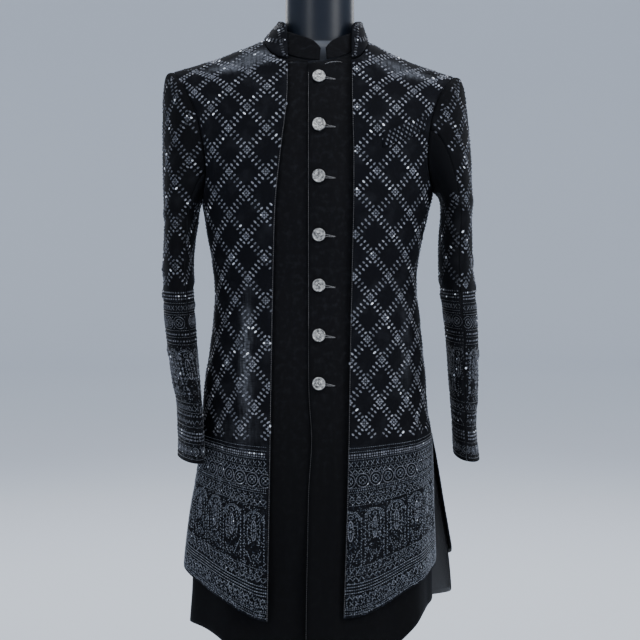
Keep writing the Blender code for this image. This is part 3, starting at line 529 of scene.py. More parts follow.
class BackHalf(Panel):
    """Half of a back, whose first columns end on the neckline."""

    def column_angle(self, u: np.ndarray, z: Any) -> np.ndarray:
        """Angles of the columns, which crowd under the neckline.

        Args:
            u: The share of the way across, from 0 to 1.
            z: Heights.

        Returns:
            Degrees round from the middle.
        """
        knee = self.neckline.knee
        width = half_width(self.face, self.side, z)
        corner = self.neckline.side_x * width / half_width(self.face, self.side, SHOULDER_Z)
        far = between(self.first_angle(corner, z), self.last_angle(z), (u - knee) / (1.0 - knee))
        share = np.minimum(u / knee, 1.0)
        crowd = between(share, sine(90.0 * share), smooth((z - 0.95) / 0.20))
        return np.where(u >= knee, far, self.first_angle(corner * crowd, z))

    def lower(self, u: np.ndarray, share: np.ndarray) -> np.ndarray:
        """Points below the chest line."""
        z = between(self.hem(u), CHEST_Z, share)
        return self.place(self.column_angle(u, z), z, 0.0)

    def upper(self, u: np.ndarray, share: np.ndarray) -> np.ndarray:
        """Points over the shoulder.

        Args:
            u: The share of the way across, from 0 to 1.
            share: The share of the way up, from 0 to 1.

        Returns:
            An array of points.
        """
        knee = self.neckline.knee
        turn = 90.0 * np.minimum(u / knee, 1.0)
        x = self.neckline.side_x * sine(turn)
        z = between(self.neck_top(), self.neckline.back_z, cosine(turn))
        rise = np.minimum((z - CHEST_Z) / self.climb(x, z, 1.0), 1.0) ** (SHOULDER_ROUNDNESS / 2.0)
        reach = np.where(u >= knee - 0.0001, 90.0, np.degrees(np.arcsin(np.minimum(rise, 1.0)))) * share
        return self.over_shoulder(partial(self.column_angle, u), CHEST_Z + 0.0 * reach,
                                  smooth((reach - 30.0) / 55.0), sine(reach) ** (2.0 / SHOULDER_ROUNDNESS))


@dataclass
class SleeveHalf:
    """The surface of a sleeve's top or under piece."""

    side: Side
    table: Reader
    first: float
    last: float
    outer_z: float
    inner_z: float
    pit: float
    fullness: float
    join_z: float = 0.955
    head_gap: float = 0.0019
    pit_gap: float = 0.0046
    pit_raise: float = 0.0030
    side_spread: float = 0.100

    def section(self, z: Any, turn: Any) -> np.ndarray:
        """Points of level sections through the hanging sleeve.

        Args:
            z: Heights.
            turn: Degrees round the sleeve.

        Returns:
            An array of points.
        """
        outer = self.table("outer", z) - OUTER_CLOTH
        inner = self.table("inner", z) + OUTER_CLOTH
        depth = self.table("half_depth", z)
        twist = np.radians(self.table("turn", z))
        reach = 0.5 * (outer - inner)
        thin = np.sqrt(np.maximum(reach ** 2 - (depth * np.sin(twist)) ** 2, 0.0001)) / np.cos(twist)
        out = thin * cosine(turn)
        fore = depth * sine(turn)
        x = 0.5 * (outer + inner) + out * np.cos(twist) - fore * np.sin(twist)
        y = self.table("centre_y", z) - (fore * np.cos(twist) + out * np.sin(twist))
        return np.stack(np.broadcast_arrays(self.side.value * x, y, z), axis=-1)

    def armhole(self, turn: float) -> np.ndarray:
        """A point of the armhole's edge, from the shoulder point (0) to the armpit (180).

        Args:
            turn: Degrees round the armhole.

        Returns:
            The point.
        """
        face = Face.FRONT if turn >= 0.0 else Face.BACK
        top = ridge_height(self.side, half_width(face, self.side, SHOULDER_Z)) + OUTER_LINE
        height = 0.5 + 0.5 * math.cos(math.pi * min(abs(turn) / 180.0, 1.0))
        z = between(ARMPIT_Z[self.side], top - 0.0002, height)
        return body_point(face, self.side, armhole_angle(face, self.side, z), z, OUTER_LINE)

    def cap(self, turn: float, share: np.ndarray) -> np.ndarray:
        """The sleeve head's points down one line, from the armhole's edge to the first level section.

        Args:
            turn: Degrees round the sleeve.
            share: The share of the way down, from 0 to 1.

        Returns:
            An array of points.
        """
        under = 0.5 - 0.5 * math.cos(math.radians(turn))
        start = self.armhole(turn) + 0.0
        start[0] += self.side.value * between(self.head_gap, self.pit_gap, under ** 2)
        start[2] += self.pit_raise * under ** 4
        end = self.section(self.join_z, turn)
        span = float(np.linalg.norm(end - start))
        spread = self.pit * under + self.side_spread * under * (1.0 - under)
        leave = np.array([self.side.value * spread, start[1] * 0.4, -0.7 * under * span])
        points = glide(share[:, None], start, end, leave, np.array([0.0, 0.0, -span * 0.9]))
        swell = self.fullness * (1.0 - under) * np.sqrt(share) * (1.0 - share) ** 1.5
        points[:, 0] += self.side.value * swell
        return points

    def skin(self, columns: int, arm_rows: int, cap_rows: int) -> np.ndarray:
        """The whole piece as a grid of points, cuff first.

        Args:
            columns: Steps round.
            arm_rows: Steps from the cuff to the level section under the armhole.
            cap_rows: Steps up the sleeve head.

        Returns:
            An array of rows, columns and three.
        """
        lines = []
        for turn in np.linspace(self.first, self.last, columns + 1):
            turn = turn - 360.0 if turn > 180.0 else turn
            low = between(self.outer_z, self.inner_z, 0.5 - 0.5 * math.cos(math.radians(turn)))
            arm = self.section(between(low, self.join_z, np.linspace(0.0, 1.0, arm_rows + 1)), turn)
            lines.append(np.concatenate([arm, self.cap(turn, np.linspace(1.0, 0.0, cap_rows + 1)[1:])]))
        return np.stack(lines, axis=1)


def new_piece(name: str, shape: bmesh.types.BMesh | bpy.types.Mesh, *finishes: bpy.types.Material) -> bpy.types.Object:
    """Put a shape in the scene.

    Args:
        name: The piece's name.
        shape: Its form, given up to the piece.
        finishes: Its materials in order.

    Returns:
        The new object.
    """
    mesh = shape
    if isinstance(shape, bmesh.types.BMesh):
        mesh = bpy.data.meshes.new(name)
        shape.to_mesh(mesh)
        shape.free()
    for finish in finishes:
        mesh.materials.append(finish)
    item = bpy.data.objects.new(name, mesh)
    bpy.context.scene.collection.objects.link(item)
    return item


def fit(item: bpy.types.Object, node: str = "") -> None:
    """Fix a piece to the frame and in its node's stead.

    Args:
        item: The piece.
        node: The node it stands for, if any.
    """
    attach(item, "root")
    if node:
        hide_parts(node)
    log.info("%s: %d faces", item.name, len(item.data.polygons))


def spun(profile: Any, steps: int, merge: float = 0.00001) -> bmesh.types.BMesh:
    """A shape turned round the upright axis.

    Args:
        profile: Pairs of radius and height.
        steps: Steps round.
        merge: How near two corners become one.

    Returns:
        The shape, its faces turned outward.
    """
    shape = bmesh.new()
    verts = [shape.verts.new((radius, 0.0, z)) for radius, z in profile]
    edges = [shape.edges.new(pair) for pair in zip(verts, verts[1:])]
    bmesh.ops.spin(shape, geom=verts + edges, cent=(0.0, 0.0, 0.0), axis=(0.0, 0.0, 1.0), angle=math.tau, steps=steps,
                   use_merge=True)
    bmesh.ops.remove_doubles(shape, verts=shape.verts[:], dist=merge)
    bmesh.ops.recalc_face_normals(shape, faces=shape.faces[:])
    return shape


Cut = namedtuple("Cut", "width length area")
Spot = namedtuple("Spot", "place normal s t")


class Cloth:
    """A piece of cloth as a grid: where each place lies and what it measures flat."""

    def __init__(self, node: str, skin: np.ndarray, thickness: float, centre_x: float = 0.0) -> None:
        """Measure the grid and move it out to the cloth's face.

        Args:
            node: The node it stands for.
            skin: The inner skin as rows, columns and three.
            thickness: The cloth's thickness.
            centre_x: Where the upright line stands that the cloth faces away from.
        """
        self.node = node
        self.name = node + "_cloth"
        self.thickness = thickness
        self.s, self.t, self.worked, self.nap = np.zeros((4, *skin.shape[:2]))
        normal = np.cross(np.gradient(skin, axis=1), np.gradient(skin, axis=0))
        size = np.linalg.norm(normal, axis=2, keepdims=True)
        normal = normal / np.maximum(size, 1e-9)
        away = skin - np.array([centre_x, 0.0, 0.0])
        away[..., 2] = 0.35 * np.maximum(skin[..., 2] - CHEST_Z, 0.0)
        self.normal = -normal if float((normal * away * size).sum()) < 0.0 else normal
        self.face = skin + self.normal * thickness
        self.trees: tuple[BVHTree, BVHTree] | None = None

    def measure_body(self, side: Side | None, chest_row: int) -> None:
        """Lay the piece flat by the distance round from the middle and the height.

        Args:
            side: The side of a front, right counting down from 0 and left up, or None for a whole back.
            chest_row: The row at the chest line, above which heights follow the cloth.
        """
        run = runs(self.face, 1)
        if side is None:
            self.s = run - run[:, run.shape[1] // 2][:, None]
        else:
            self.s = side.value * run + self.face[:, :1, 0]
        self.t = self.face[..., 2].copy()
        self.t[chest_row:] = self.t[chest_row] + runs(self.face[chest_row:], 0)

    def measure_sleeve(self, join_row: int, crown: int) -> None:
        """Lay the piece flat by level distances round from its highest line and that line's own length.

        Args:
            join_row: The row at the level section under the armhole.
            crown: The column that reaches highest.
        """
        height = self.face[..., 2]
        columns = range(height.shape[1])
        levels = np.linspace(float(height.min()), float(height.max()), 200)
        order = np.argsort(height, axis=0, kind="stable")
        ring = np.zeros((len(levels), len(columns), 2))
        for column in columns:
            rows = order[:, column]
            for axis in range(2):
                ring[:, column, axis] = np.interp(levels, height[rows, column], self.face[rows, column, axis])
        run = runs(ring, 1)
        run = run - run[:, crown][:, None]
        crown_z = height[join_row:, crown]
        path = float(crown_z[0]) + runs(self.face[join_row:, crown], 0)
        above = np.interp(height, np.maximum.accumulate(crown_z), path)
        self.t = np.where(height < float(crown_z[0]), height, above)
        for column in columns:
            self.s[:, column] = np.interp(height[:, column], levels, run[:, column])

    def crease(self, creases: tuple[Crease, ...], keep: Any = 1.0) -> None:
        """Lift the cloth along its creases."""
        lift = sum((line.rise(self.s, self.t) for line in creases), np.zeros(self.s.shape))
        self.face = self.face + self.normal * (lift * keep)[..., None]

    def brush(self, s: float, t: float, wide: float, tall: float, strength: float) -> None:
        """Paint a patch of sheen, a paler pile, over an oval place."""
        self.nap += strength * np.exp(-(((self.s - s) / wide) ** 2 + ((self.t - t) / tall) ** 2))

    def cut(self) -> Cut:
        """The flat size, measured along the cloth.

        Returns:
            The flat size.
        """
        over, along = (np.linalg.norm(np.diff(self.face, axis=axis), axis=2) for axis in (1, 0))
        area = float((0.5 * (over[1:] + over[:-1]) * 0.5 * (along[:, 1:] + along[:, :-1])).sum())
        width, length = float(over.sum(axis=1).max()), float(along.sum(axis=0).max())
        return Cut(round(width, 3), round(length, 3), round(min(area, width * length), 4))

    def build(self, finish: bpy.types.Material, lining: bpy.types.Material) -> bpy.types.Object:
        """Make the piece's object, with a wall turned inward.

        Args:
            finish: The face's material.
            lining: The inside's material.

        Returns:
            The new object.
        """
        rows, columns = self.s.shape
        shape = bmesh.new()
        bmesh.ops.create_grid(shape, x_segments=columns - 1, y_segments=rows - 1, size=0.5)
        order = []
        for vertex in shape.verts:
            order.append((round((vertex.co.y + 0.5) * (rows - 1)), round((vertex.co.x + 0.5) * (columns - 1))))
            vertex.co = self.face[order[-1]]
        shape.normal_update()
        facing = 0.0
        for patch in shape.faces:
            facing += patch.normal.dot(Vector(self.normal[order[patch.verts[0].index]]))
            patch.smooth = True
        if facing < 0.0:
            bmesh.ops.reverse_faces(shape, faces=shape.faces[:])
        item = new_piece(self.name, shape, finish, lining)
        mesh = item.data
        row, column = np.array(order).T
        for name, values in (("worked", self.worked), ("nap", self.nap)):
            kept = mesh.attributes.new(name, "FLOAT", "POINT")
            kept.data.foreach_set("value", values[row, column].astype(np.float32))
        corner = np.empty(len(mesh.loops), dtype=np.int32)
        mesh.loops.foreach_get("vertex_index", corner)
        flat = np.stack([self.s[row, column][corner], self.t[row, column][corner]], axis=1)
        mesh.uv_layers.new(name="cloth").data.foreach_set("uv", flat.astype(np.float32).ravel())
        wall = item.modifiers.new("wall", "SOLIDIFY")
        wall.thickness = self.thickness * 0.85
        wall.offset = -1.0
        wall.material_offset = 1
        wall.material_offset_rim = 0
        return item

    def lay_flat(self) -> tuple[BVHTree, BVHTree]:
        """Ready the search for places, on the flat cloth and on the body."""
        if self.trees is None:
            index = np.arange(self.s.size).reshape(self.s.shape)
            a, b = index[:-1, :-1].ravel(), index[:-1, 1:].ravel()
            c, d = index[1:, 1:].ravel(), index[1:, :-1].ravel()
            self.corners = np.concatenate([np.stack([a, b, c], 1), np.stack([a, c, d], 1)]).tolist()
            flat = np.stack([self.s, self.t, 0.0 * self.s], axis=2).reshape(-1, 3)
            self.points = [[Vector(place) for place in grid] for grid in (flat, self.face.reshape(-1, 3))]
            self.trees = tuple(BVHTree.FromPolygons(points, self.corners) for points in self.points)
        return self.trees

    def spot(self, seen: bool, start: tuple[float, float, float], along: tuple[float, float, float]) -> Spot | None:
        """The place that a ray hits, on the hung cloth if seen and else on the flat cloth.

        Args:
            seen: Whether the ray meets the hung cloth.
            start: Where the ray starts.
            along: Which way it runs.

        Returns:
            The place, or None where the ray misses.
        """
        hit, _, index, _ = self.lay_flat()[seen].ray_cast(Vector(start), Vector(along))
        if hit is None:
            return None
        flat, hung = ([points[corner] for corner in self.corners[index]] for points in self.points)
        place = hit if seen else barycentric_transform(hit, *flat, *hung)
        measure = barycentric_transform(hit, *hung, *flat) if seen else hit
        normal = (hung[1] - hung[0]).cross(hung[2] - hung[0])
        if normal.dot(Vector(self.normal.reshape(-1, 3)[self.corners[index][0]])) < 0.0:
            normal = -normal
        return Spot(place, normal.normalized(), measure.x, measure.y)

    def pin(self, s: float, t: float) -> Spot | None:
        """The place at a flat measure, or None beyond the piece's edge."""
        return self.spot(False, (s, t, 1.0), (0.0, 0.0, -1.0))

    def seen_at(self, x: float, z: float) -> Spot | None:
        """The place straight behind a point in front of the cloth, or None beside it."""
        return self.spot(True, (x, -1.0, z), (0.0, 1.0, 0.0))


class Bead(Enum):
    """The small shapes that are sewn on."""

    SEQUIN = "sequin"
    STITCH = "stitch"
    PEARL = "pearl"


class Beadwork:
    """Small shapes sewn to a cloth, gathered into one piece of each kind."""

    def __init__(self, cloth: Cloth, seed: int, word: str = "") -> None:
        """Start with nothing sewn on.

        Args:
            cloth: The piece of cloth.
            seed: What the work's chance starts from.
            word: What the piece's name ends with, if it needs its own.
        """
        self.cloth = cloth
        self.word = word
        self.chance = np.random.default_rng(seed)
        self.sewn: dict[Bead, list[list[float]]] = {kind: [] for kind in Bead}

    def sew(self, kind: Bead, s: float, t: float, turn: float, length: float, width: float, height: float,
            tilt: float = 0.0) -> None:
        """Sew one shape at a flat place, unless the cloth ends or folds there.

        Args:
            kind: Which shape.
            s: Distance across.
            t: Height along the cloth.
            turn: Its direction in degrees, from across towards up.
            length: Size along that direction.
            width: Size across it.
            height: How far it stands out.
            tilt: Degrees it may lean by chance.
        """
        ds, dt = swung(0.5 * length, turn)
        one, two = self.cloth.pin(s - ds, t - dt), self.cloth.pin(s + ds, t + dt)
        if one is None or two is None:
            return
        along = two.place - one.place
        if along.length < 0.35 * length or along.length > 1.6 * length:
            return
        normal = (one.normal + two.normal).normalized()
        if tilt:
            lean = self.chance.normal(0.0, tilt, 2)
            normal.rotate(Matrix.Rotation(math.radians(lean[0]), 3, along.normalized()))
            normal.rotate(Matrix.Rotation(math.radians(lean[1]), 3, along.cross(normal).normalized()))
        along = (along - normal * along.dot(normal)).normalized()
        middle = 0.5 * (one.place + two.place)
        self.sewn[kind].append([*middle, *(along * length), *(normal.cross(along) * width), *(normal * height)])

    def sequin(self, s: float, t: float, size: float, height: float = 0.0006, tilt: float = 8.0) -> None:
        """Sew on one round sequin."""
        self.sew(Bead.SEQUIN, s, t, 0.0, size, size, height, tilt)

    def stitch(self, s: float, t: float, turn: float, length: float, width: float, height: float = 0.0006) -> None:
        """Sew one thread stitch."""
        self.sew(Bead.STITCH, s, t, turn, length, width, height)

    @staticmethod
    def seed_shape(kind: Bead) -> bmesh.types.BMesh:
        """One shape of unit size, standing on the cloth.

        Args:
            kind: The kind of bead.

        Returns:
            The shape.
        """
        shape = bmesh.new()
        if kind is Bead.SEQUIN:
            bmesh.ops.create_cone(shape, cap_ends=True, segments=8, radius1=0.5, radius2=0.36, depth=1.0)
            below = [patch for patch in shape.faces if patch.normal.z < -0.9]
            bmesh.ops.delete(shape, geom=below, context="FACES_ONLY")
            top = [patch for patch in shape.faces if patch.normal.z > 0.9]
            bmesh.ops.poke(shape, faces=top, offset=-0.35)
        elif kind is Bead.STITCH:
            bmesh.ops.create_cone(shape, cap_ends=False, segments=4, radius1=0.5, radius2=0.22, depth=1.0)
            rim = [edge for edge in shape.edges if all(v.co.z > 0.4 for v in edge.verts)]
            bmesh.ops.holes_fill(shape, edges=rim, sides=4)
        else:
            bmesh.ops.create_icosphere(shape, subdivisions=1, radius=0.5)
        bmesh.ops.translate(shape, verts=shape.verts[:], vec=(0.0, 0.0, 0.45))
        bmesh.ops.triangulate(shape, faces=shape.faces[:])
        return shape

    def finish(self, finishes: dict[Bead, bpy.types.Material], slot: str, node: str = "") -> None:
        """Join what was sewn into one piece of each kind.

        Args:
            finishes: The material of each kind.
            slot: Not used.
            node: The node that the stitches stand for, if any.
        """
        for kind, rows in self.sewn.items():
            if not rows:
                continue
            seed = self.seed_shape(kind)
            seed.verts.ensure_lookup_table()
            unit = np.array([vertex.co[:] for vertex in seed.verts])
            faces = np.array([[vertex.index for vertex in patch.verts] for patch in seed.faces])
            seed.free()
            middle, *axes = (part[:, None] for part in np.split(np.array(rows), 4, axis=1))
            points = middle + sum(unit[None, :, axis:axis + 1] * axes[axis] for axis in range(3))
            shift = (np.arange(len(rows)) * len(unit))[:, None, None]
            name = node + "_stitches" if node else self.cloth.name + self.word + "_" + kind.value
            mesh = bpy.data.meshes.new(name)
            mesh.from_pydata(points.reshape(-1, 3).tolist(), [], (faces[None] + shift).reshape(-1, 3).tolist())
            shine = mesh.attributes.new("glint", "FLOAT", "POINT")
            glint = np.repeat(self.chance.random(len(rows)), len(unit))
            shine.data.foreach_set("value", glint.astype(np.float32))
            fit(new_piece(name, mesh, finishes[kind]), node)


@dataclass(frozen=True)
class Lattice:
    """The all-over lattice: columns and rows of knots joined by short bars."""

    first: Callable[[float], float]
    pitch: Callable[[float], float]
    row: float
    start: float
    low: float
    columns: range
    high: float = 1.40
    bar: float = 0.00704
    depth: float = 0.0008
    lean: float = 9.0

    def knot(self, column: int, row: int) -> tuple[float, float]:
        """The flat place of one knot."""
        t = self.start + row * self.row
        return self.first(t) + column * self.pitch(t), t

    def sew_knot(self, work: Beadwork, s: float, t: float) -> None:
        """Eight beads round one, the four on the diagonals smaller."""
        work.sequin(s, t, 0.0034, self.depth, 6.0)
        for start, reach, length, width in ((0, 0.0047, 0.0046, 0.0034), (45, 0.0041, 0.0030, 0.0028)):
            for turn in range(start, 360, 90):
                ds, dt = swung(reach, turn)
                work.sew(Bead.SEQUIN, s + ds, t + dt, turn, length, width, self.depth, self.lean)

    def sew_bars(self, work: Beadwork, one: tuple[float, float], two: tuple[float, float]) -> None:
        """Bars across the line from one knot to the next, each of two beads.

        Args:
            work: The beadwork to sew into.
            one: One knot.
            two: The next knot along the line.
        """
        run = (two[0] - one[0], two[1] - one[1])
        across_it = math.degrees(math.atan2(run[1], run[0])) + 90.0
        for share in (0.235, 0.41, 0.59, 0.765):
            s, t = one[0] + run[0] * share, one[1] + run[1] * share
            if not self.low < t < self.high:
                continue
            for hand in (-0.5, 0.5):
                ds, dt = swung(hand * self.bar, across_it)
                length = 0.0058 + work.chance.normal(0.0, 0.0003)
                work.sew(Bead.SEQUIN, s + ds, t + dt, across_it, length, 0.0033, self.depth, self.lean)

    def sew(self, work: Beadwork) -> None:
        """Sew the whole lattice; the cloth's edges cut it."""
        rows = range(math.floor((self.low - self.start) / self.row) - 1,
                     math.ceil((self.high - self.start) / self.row) + 2)
        for column in self.columns:
            for row in rows:
                if (column + row) % 2:
                    continue
                here = self.knot(column, row)
                if self.low < here[1] < self.high:
                    self.sew_knot(work, *here)
                for step in (-1, 1):
                    self.sew_bars(work, here, self.knot(column + 1, row + step))


@dataclass
class Border:
    """A worked border between a top line and an edge, measured from 0 at the top to 1 at the edge."""

    work: Beadwork
    top: Callable[[float], float]
    edge: Callable[[float], float]
    left: float
    right: float
    centre: float = 0.0

    def sew(self, bands: tuple) -> None:
        """Sew bands in order, each a kind of row followed by its own measures."""
        for band, *measures in bands:
            band(self, *measures)

    def places(self, pitch: float, shift: float = 0.0) -> list[float]:
        """Places a pitch apart along the border, one of them at its centre.

        Args:
            pitch: The distance from place to place.
            shift: How far the places are moved, in pitches.

        Returns:
            Distances round from the middle.
        """
        start = self.centre + shift * pitch
        first = math.ceil((self.left - start) / pitch)
        last = math.floor((self.right - start) / pitch)
        return [start + pitch * index for index in range(first, last + 1)]

    def steps(self, pitch: float, start: float = 0.0) -> list[float]:
        """Places a pitch apart from the border's left end."""
        return np.arange(self.left + start * pitch, self.right, pitch).tolist()

    def height(self, s: float, share: float) -> float:
        """The flat height of a share down the border."""
        return between(self.top(s), self.edge(s), share)

    def stitch(self, s: float, share: float, turn: float, length: float, width: float) -> None:
        """One thread stitch, turned from the border's own line.

        Args:
            s: How far round it lies.
            share: How far down the border it lies, from 0 to 1.
            turn: Degrees from the border's line.
            length: The stitch's length.
            width: The stitch's width.
        """
        rise = self.height(s + 0.004, share) - self.height(s - 0.004, share)
        slope = math.degrees(math.atan2(rise, 0.008))
        self.work.stitch(s, self.height(s, share), slope + turn, length, width)

    def line(self, share: float, width: float = 0.0009, turn: float = 0.0, pitch: float = 0.0034,
             length: float = 0.0034) -> None:
        """A line of stitches along the border."""
        for s in self.steps(pitch):
            self.stitch(s, share, turn, length, width)

    def ladder(self, share: float, pitch: float, length: float) -> None:
        """A row of short upright stitches."""
        self.line(share, 0.0012, 90.0, pitch, length)

    def sequins(self, share: float, pitch: float, size: float) -> None:
        """A row of sequins."""
        for s in self.steps(pitch, 0.5):
            self.work.sequin(s, self.height(s, share), size, 0.0007)

    def ring(self, s: float, t: float, wide: float, tall: float, count: int, width: float,
             kind: Bead = Bead.STITCH) -> None:
        """A ring or oval of shapes, given by half its size."""
        length = 1.12 * 2.0 * math.pi * math.hypot(wide, tall) / 1.414 / count
        for turn in np.arange(0.0, 360.0, 360.0 / count):
            x, y = swung(1.0, turn)
            angle = math.degrees(math.atan2(tall * x, -wide * y))
            self.work.sew(kind, s + wide * x, t + tall * y, angle, length, width, 0.0006)

    def medallions(self, share: float, pitch: float, radius: float) -> None:
        """Round medallions: two rings and a flower, with crosses between them."""
        stitch = self.work.stitch
        for s in self.places(pitch):
            t = self.height(s, share)
            self.ring(s, t, radius, radius, 20, 0.0012, Bead.SEQUIN)
            self.ring(s, t, radius * 0.58, radius * 0.58, 13, 0.0013)
            self.work.sequin(s, t, 0.0030, 0.0008, 5.0)
            for turn in range(45, 405, 90):
                ds, dt = swung(radius * 0.38, turn)
                stitch(s + ds, t + dt, turn, radius * 0.30, 0.0015)
            for dt in (-radius * 0.95, radius * 0.95):
                for turn in (45.0, 135.0):
                    stitch(s + 0.5 * pitch, t + dt, turn, 0.0030, 0.0012)

    def drops(self, share: float, pitch: float, size: float) -> None:
        """A row of bare teardrops left between pairs of slanted stitches."""
        for s in self.steps(pitch, 0.5):
            t = self.height(s, share)
            for hand in (-1.0, 1.0):
                for up in (1.0, -1.0):
                    self.work.stitch(s + hand * 0.28 * pitch, t + up * 0.25 * size, 90.0 + up * hand * 32.0,
                                     0.55 * size, 0.0011)
            self.work.sequin(s + 0.5 * pitch, t, 0.0020)

    def zigzag(self, share: float, pitch: float, height: float) -> None:
        """A zigzag of long stitches with a dot in each corner."""
        for index, s in enumerate(self.steps(0.5 * pitch)):
            hand = 1 if index % 2 else -1
            turn = math.degrees(math.atan2(height, 0.5 * pitch)) * hand
            self.stitch(s, share, turn, math.hypot(height, 0.5 * pitch), 0.0012)
            self.work.sequin(s + 0.25 * pitch, self.height(s, share) + 0.0022 * hand, 0.0016)

    def arcade(self, low: float, high: float, pitch: float, shift: float) -> None:
        """A tall band of arches, each over an upright oval and sprays of leaves."""
        stitch = self.work.stitch
        for index, s in enumerate(self.places(pitch, shift)):
            top, foot = self.height(s, low), self.height(s, high)
            tall = top - foot
            middle = between(foot, top, 0.60)
            self.ring(s, middle, 0.0040, 0.0150, 26, 0.0018, Bead.SEQUIN)
            self.ring(s, middle, 0.0008, 0.0100, 10, 0.0012)
            self.ring(s, middle + 0.0205, 0.0030, 0.0030, 8, 0.0014)
            for hand in (-1.0, 1.0):
                for rung in range(9):
                    bend = 0.0085 + 0.0022 * math.cos(math.radians(24.0 * rung - 90.0))
                    stitch(s + hand * bend, middle - 0.0180 + 0.0050 * rung, 90.0 + hand * (28.0 - 7.0 * rung),
                           0.0046, 0.0016)
                for leaf in range(6):
                    stitch(s + hand * 0.0062, middle - 0.0150 + 0.0058 * leaf, 90.0 - hand * 48.0, 0.0032, 0.0010)
                for rung in range(int(tall * 0.86 / 0.0046)):
                    stitch(s + hand * 0.42 * pitch, foot + 0.004 + 0.0046 * rung,
                           90.0 + hand * 35.0 * (1 if rung % 2 else -1), 0.0040, 0.0016)
            for turn in range(8, 180, 12):
                for reach in (0.0135, 0.0158):
                    ds, dt = swung(reach, turn)
                    stitch(s + ds, middle + 0.0150 + 0.9 * dt, turn + 90.0, 0.0034, 0.0013)
            for petal in range(0, 360, 60):
                ds, dt = swung(0.0030, petal)
                stitch(s + ds, foot + 0.17 * tall + dt, petal, 0.0030, 0.0013)
            for hand in (-1.0, 1.0):
                for leaf in range(5):
                    stitch(s + hand * (0.0050 + 0.0016 * leaf), foot + 0.10 * tall + 0.0034 * leaf,
                           90.0 - hand * (60.0 - 12.0 * leaf), 0.0042, 0.0013)
            if index % 2:
                self.work.sequin(s, middle, 0.0022, 0.0007)

    def pairs(self, low: float, high: float, pitch: float, shift: float) -> None:
        """Ladders of large sequins in pairs, between the arches."""
        for s in self.places(pitch, shift):
            for share in np.arange(low, high, 0.0292):
                for hand in (-1.0, 1.0):
                    self.work.sequin(s + 0.0042 * hand, self.height(s, float(share)), 0.0040, 0.0009, 10.0)

    def scatter(self, low: float, high: float, each: float) -> None:
        """Seed stitches that fill the ground between the figures.

        Args:
            low: The share down the border where the ground starts.
            high: The share where it ends.
            each: The area for each stitch.
        """
        middle = 0.5 * (self.left + self.right)
        span = abs(self.height(middle, low) - self.height(middle, high))
        count = int((self.right - self.left) * span / each)
        chance = self.work.chance
        draws = zip(chance.uniform(self.left, self.right, count), chance.uniform(low, high, count),
                    chance.integers(0, 4, count))
        for s, share, quarter in draws:
            self.stitch(float(s), float(share), 45.0 * float(quarter), 0.0026, 0.0013)


HEM_TOP = 0.6150
HEM_BANDS = (
    (Border.line, 0.0), (Border.line, 0.022),
    (Border.sequins, 0.040, 0.0040, 0.0030), (Border.sequins, 0.055, 0.0040, 0.0026), (Border.line, 0.068),
    (Border.drops, 0.095, 0.0085, 0.0095), (Border.line, 0.120),
    (Border.zigzag, 0.136, 0.0085, 0.0050), (Border.line, 0.150),
    (Border.medallions, 0.192, 0.0215, 0.0100), (Border.line, 0.236),
    (Border.ladder, 0.248, 0.0030, 0.0030), (Border.line, 0.262),
    (Border.drops, 0.285, 0.0100, 0.0080), (Border.line, 0.306),
    (Border.zigzag, 0.322, 0.0090, 0.0050), (Border.line, 0.338),
    (Border.arcade, 0.345, 0.700, 0.0390, 0.52), (Border.line, 0.704),
    (Border.drops, 0.728, 0.0095, 0.0085), (Border.line, 0.752), (Border.zigzag, 0.770, 0.0090, 0.0050),
    *((Border.line, share, 0.0019) for share in (0.800, 0.818, 0.836, 0.854)),
    (Border.zigzag, 0.882, 0.0084, 0.0055), (Border.drops, 0.915, 0.0090, 0.0085),
    (Border.ladder, 0.942, 0.0034, 0.0030), (Border.line, 0.952),
    (Border.ladder, 0.968, 0.0028, 0.0032), (Border.line, 0.982, 0.0013),
    (Border.scatter, 0.34, 0.72, 0.000024), (Border.scatter, 0.24, 0.34, 0.000034),
    (Border.scatter, 0.70, 0.80, 0.000026), (Border.scatter, 0.86, 0.99, 0.000012),
)
CUFF_TOP = 0.8500
CUFF_ARCH = 0.0300


def cuff_bands(shift: float) -> tuple:
    """The bands above a cuff, their arches moved by a share of their pitch."""
    return (
        *((Border.sequins, share, 0.0044, 0.0028) for share in (0.0, 0.020, 0.038)), (Border.line, 0.062),
        (Border.drops, 0.090, 0.0090, 0.0085), (Border.line, 0.115), (Border.line, 0.130),
        (Border.medallions, 0.175, 0.0210, 0.0088), (Border.line, 0.222),
        (Border.sequins, 0.245, 0.0052, 0.0030), (Border.line, 0.262),
        (Border.sequins, 0.285, 0.0052, 0.0030), (Border.line, 0.305),
        (Border.arcade, 0.320, 0.640, CUFF_ARCH, shift), (Border.pairs, 0.358, 0.600, CUFF_ARCH, shift + 0.5),
        (Border.line, 0.650), (Border.drops, 0.680, 0.0090, 0.0085), (Border.line, 0.705),
        (Border.sequins, 0.725, 0.0056, 0.0028), (Border.zigzag, 0.760, 0.0090, 0.0060), (Border.line, 0.790),
        *((Border.sequins, share, 0.0042, 0.0032) for share in (0.826, 0.846, 0.866)), (Border.line, 0.888),
        (Border.medallions, 0.932, 0.0160, 0.0060), (Border.line, 0.978, 0.0013),
        (Border.scatter, 0.31, 0.66, 0.000040), (Border.scatter, 0.66, 0.98, 0.000050),
    )


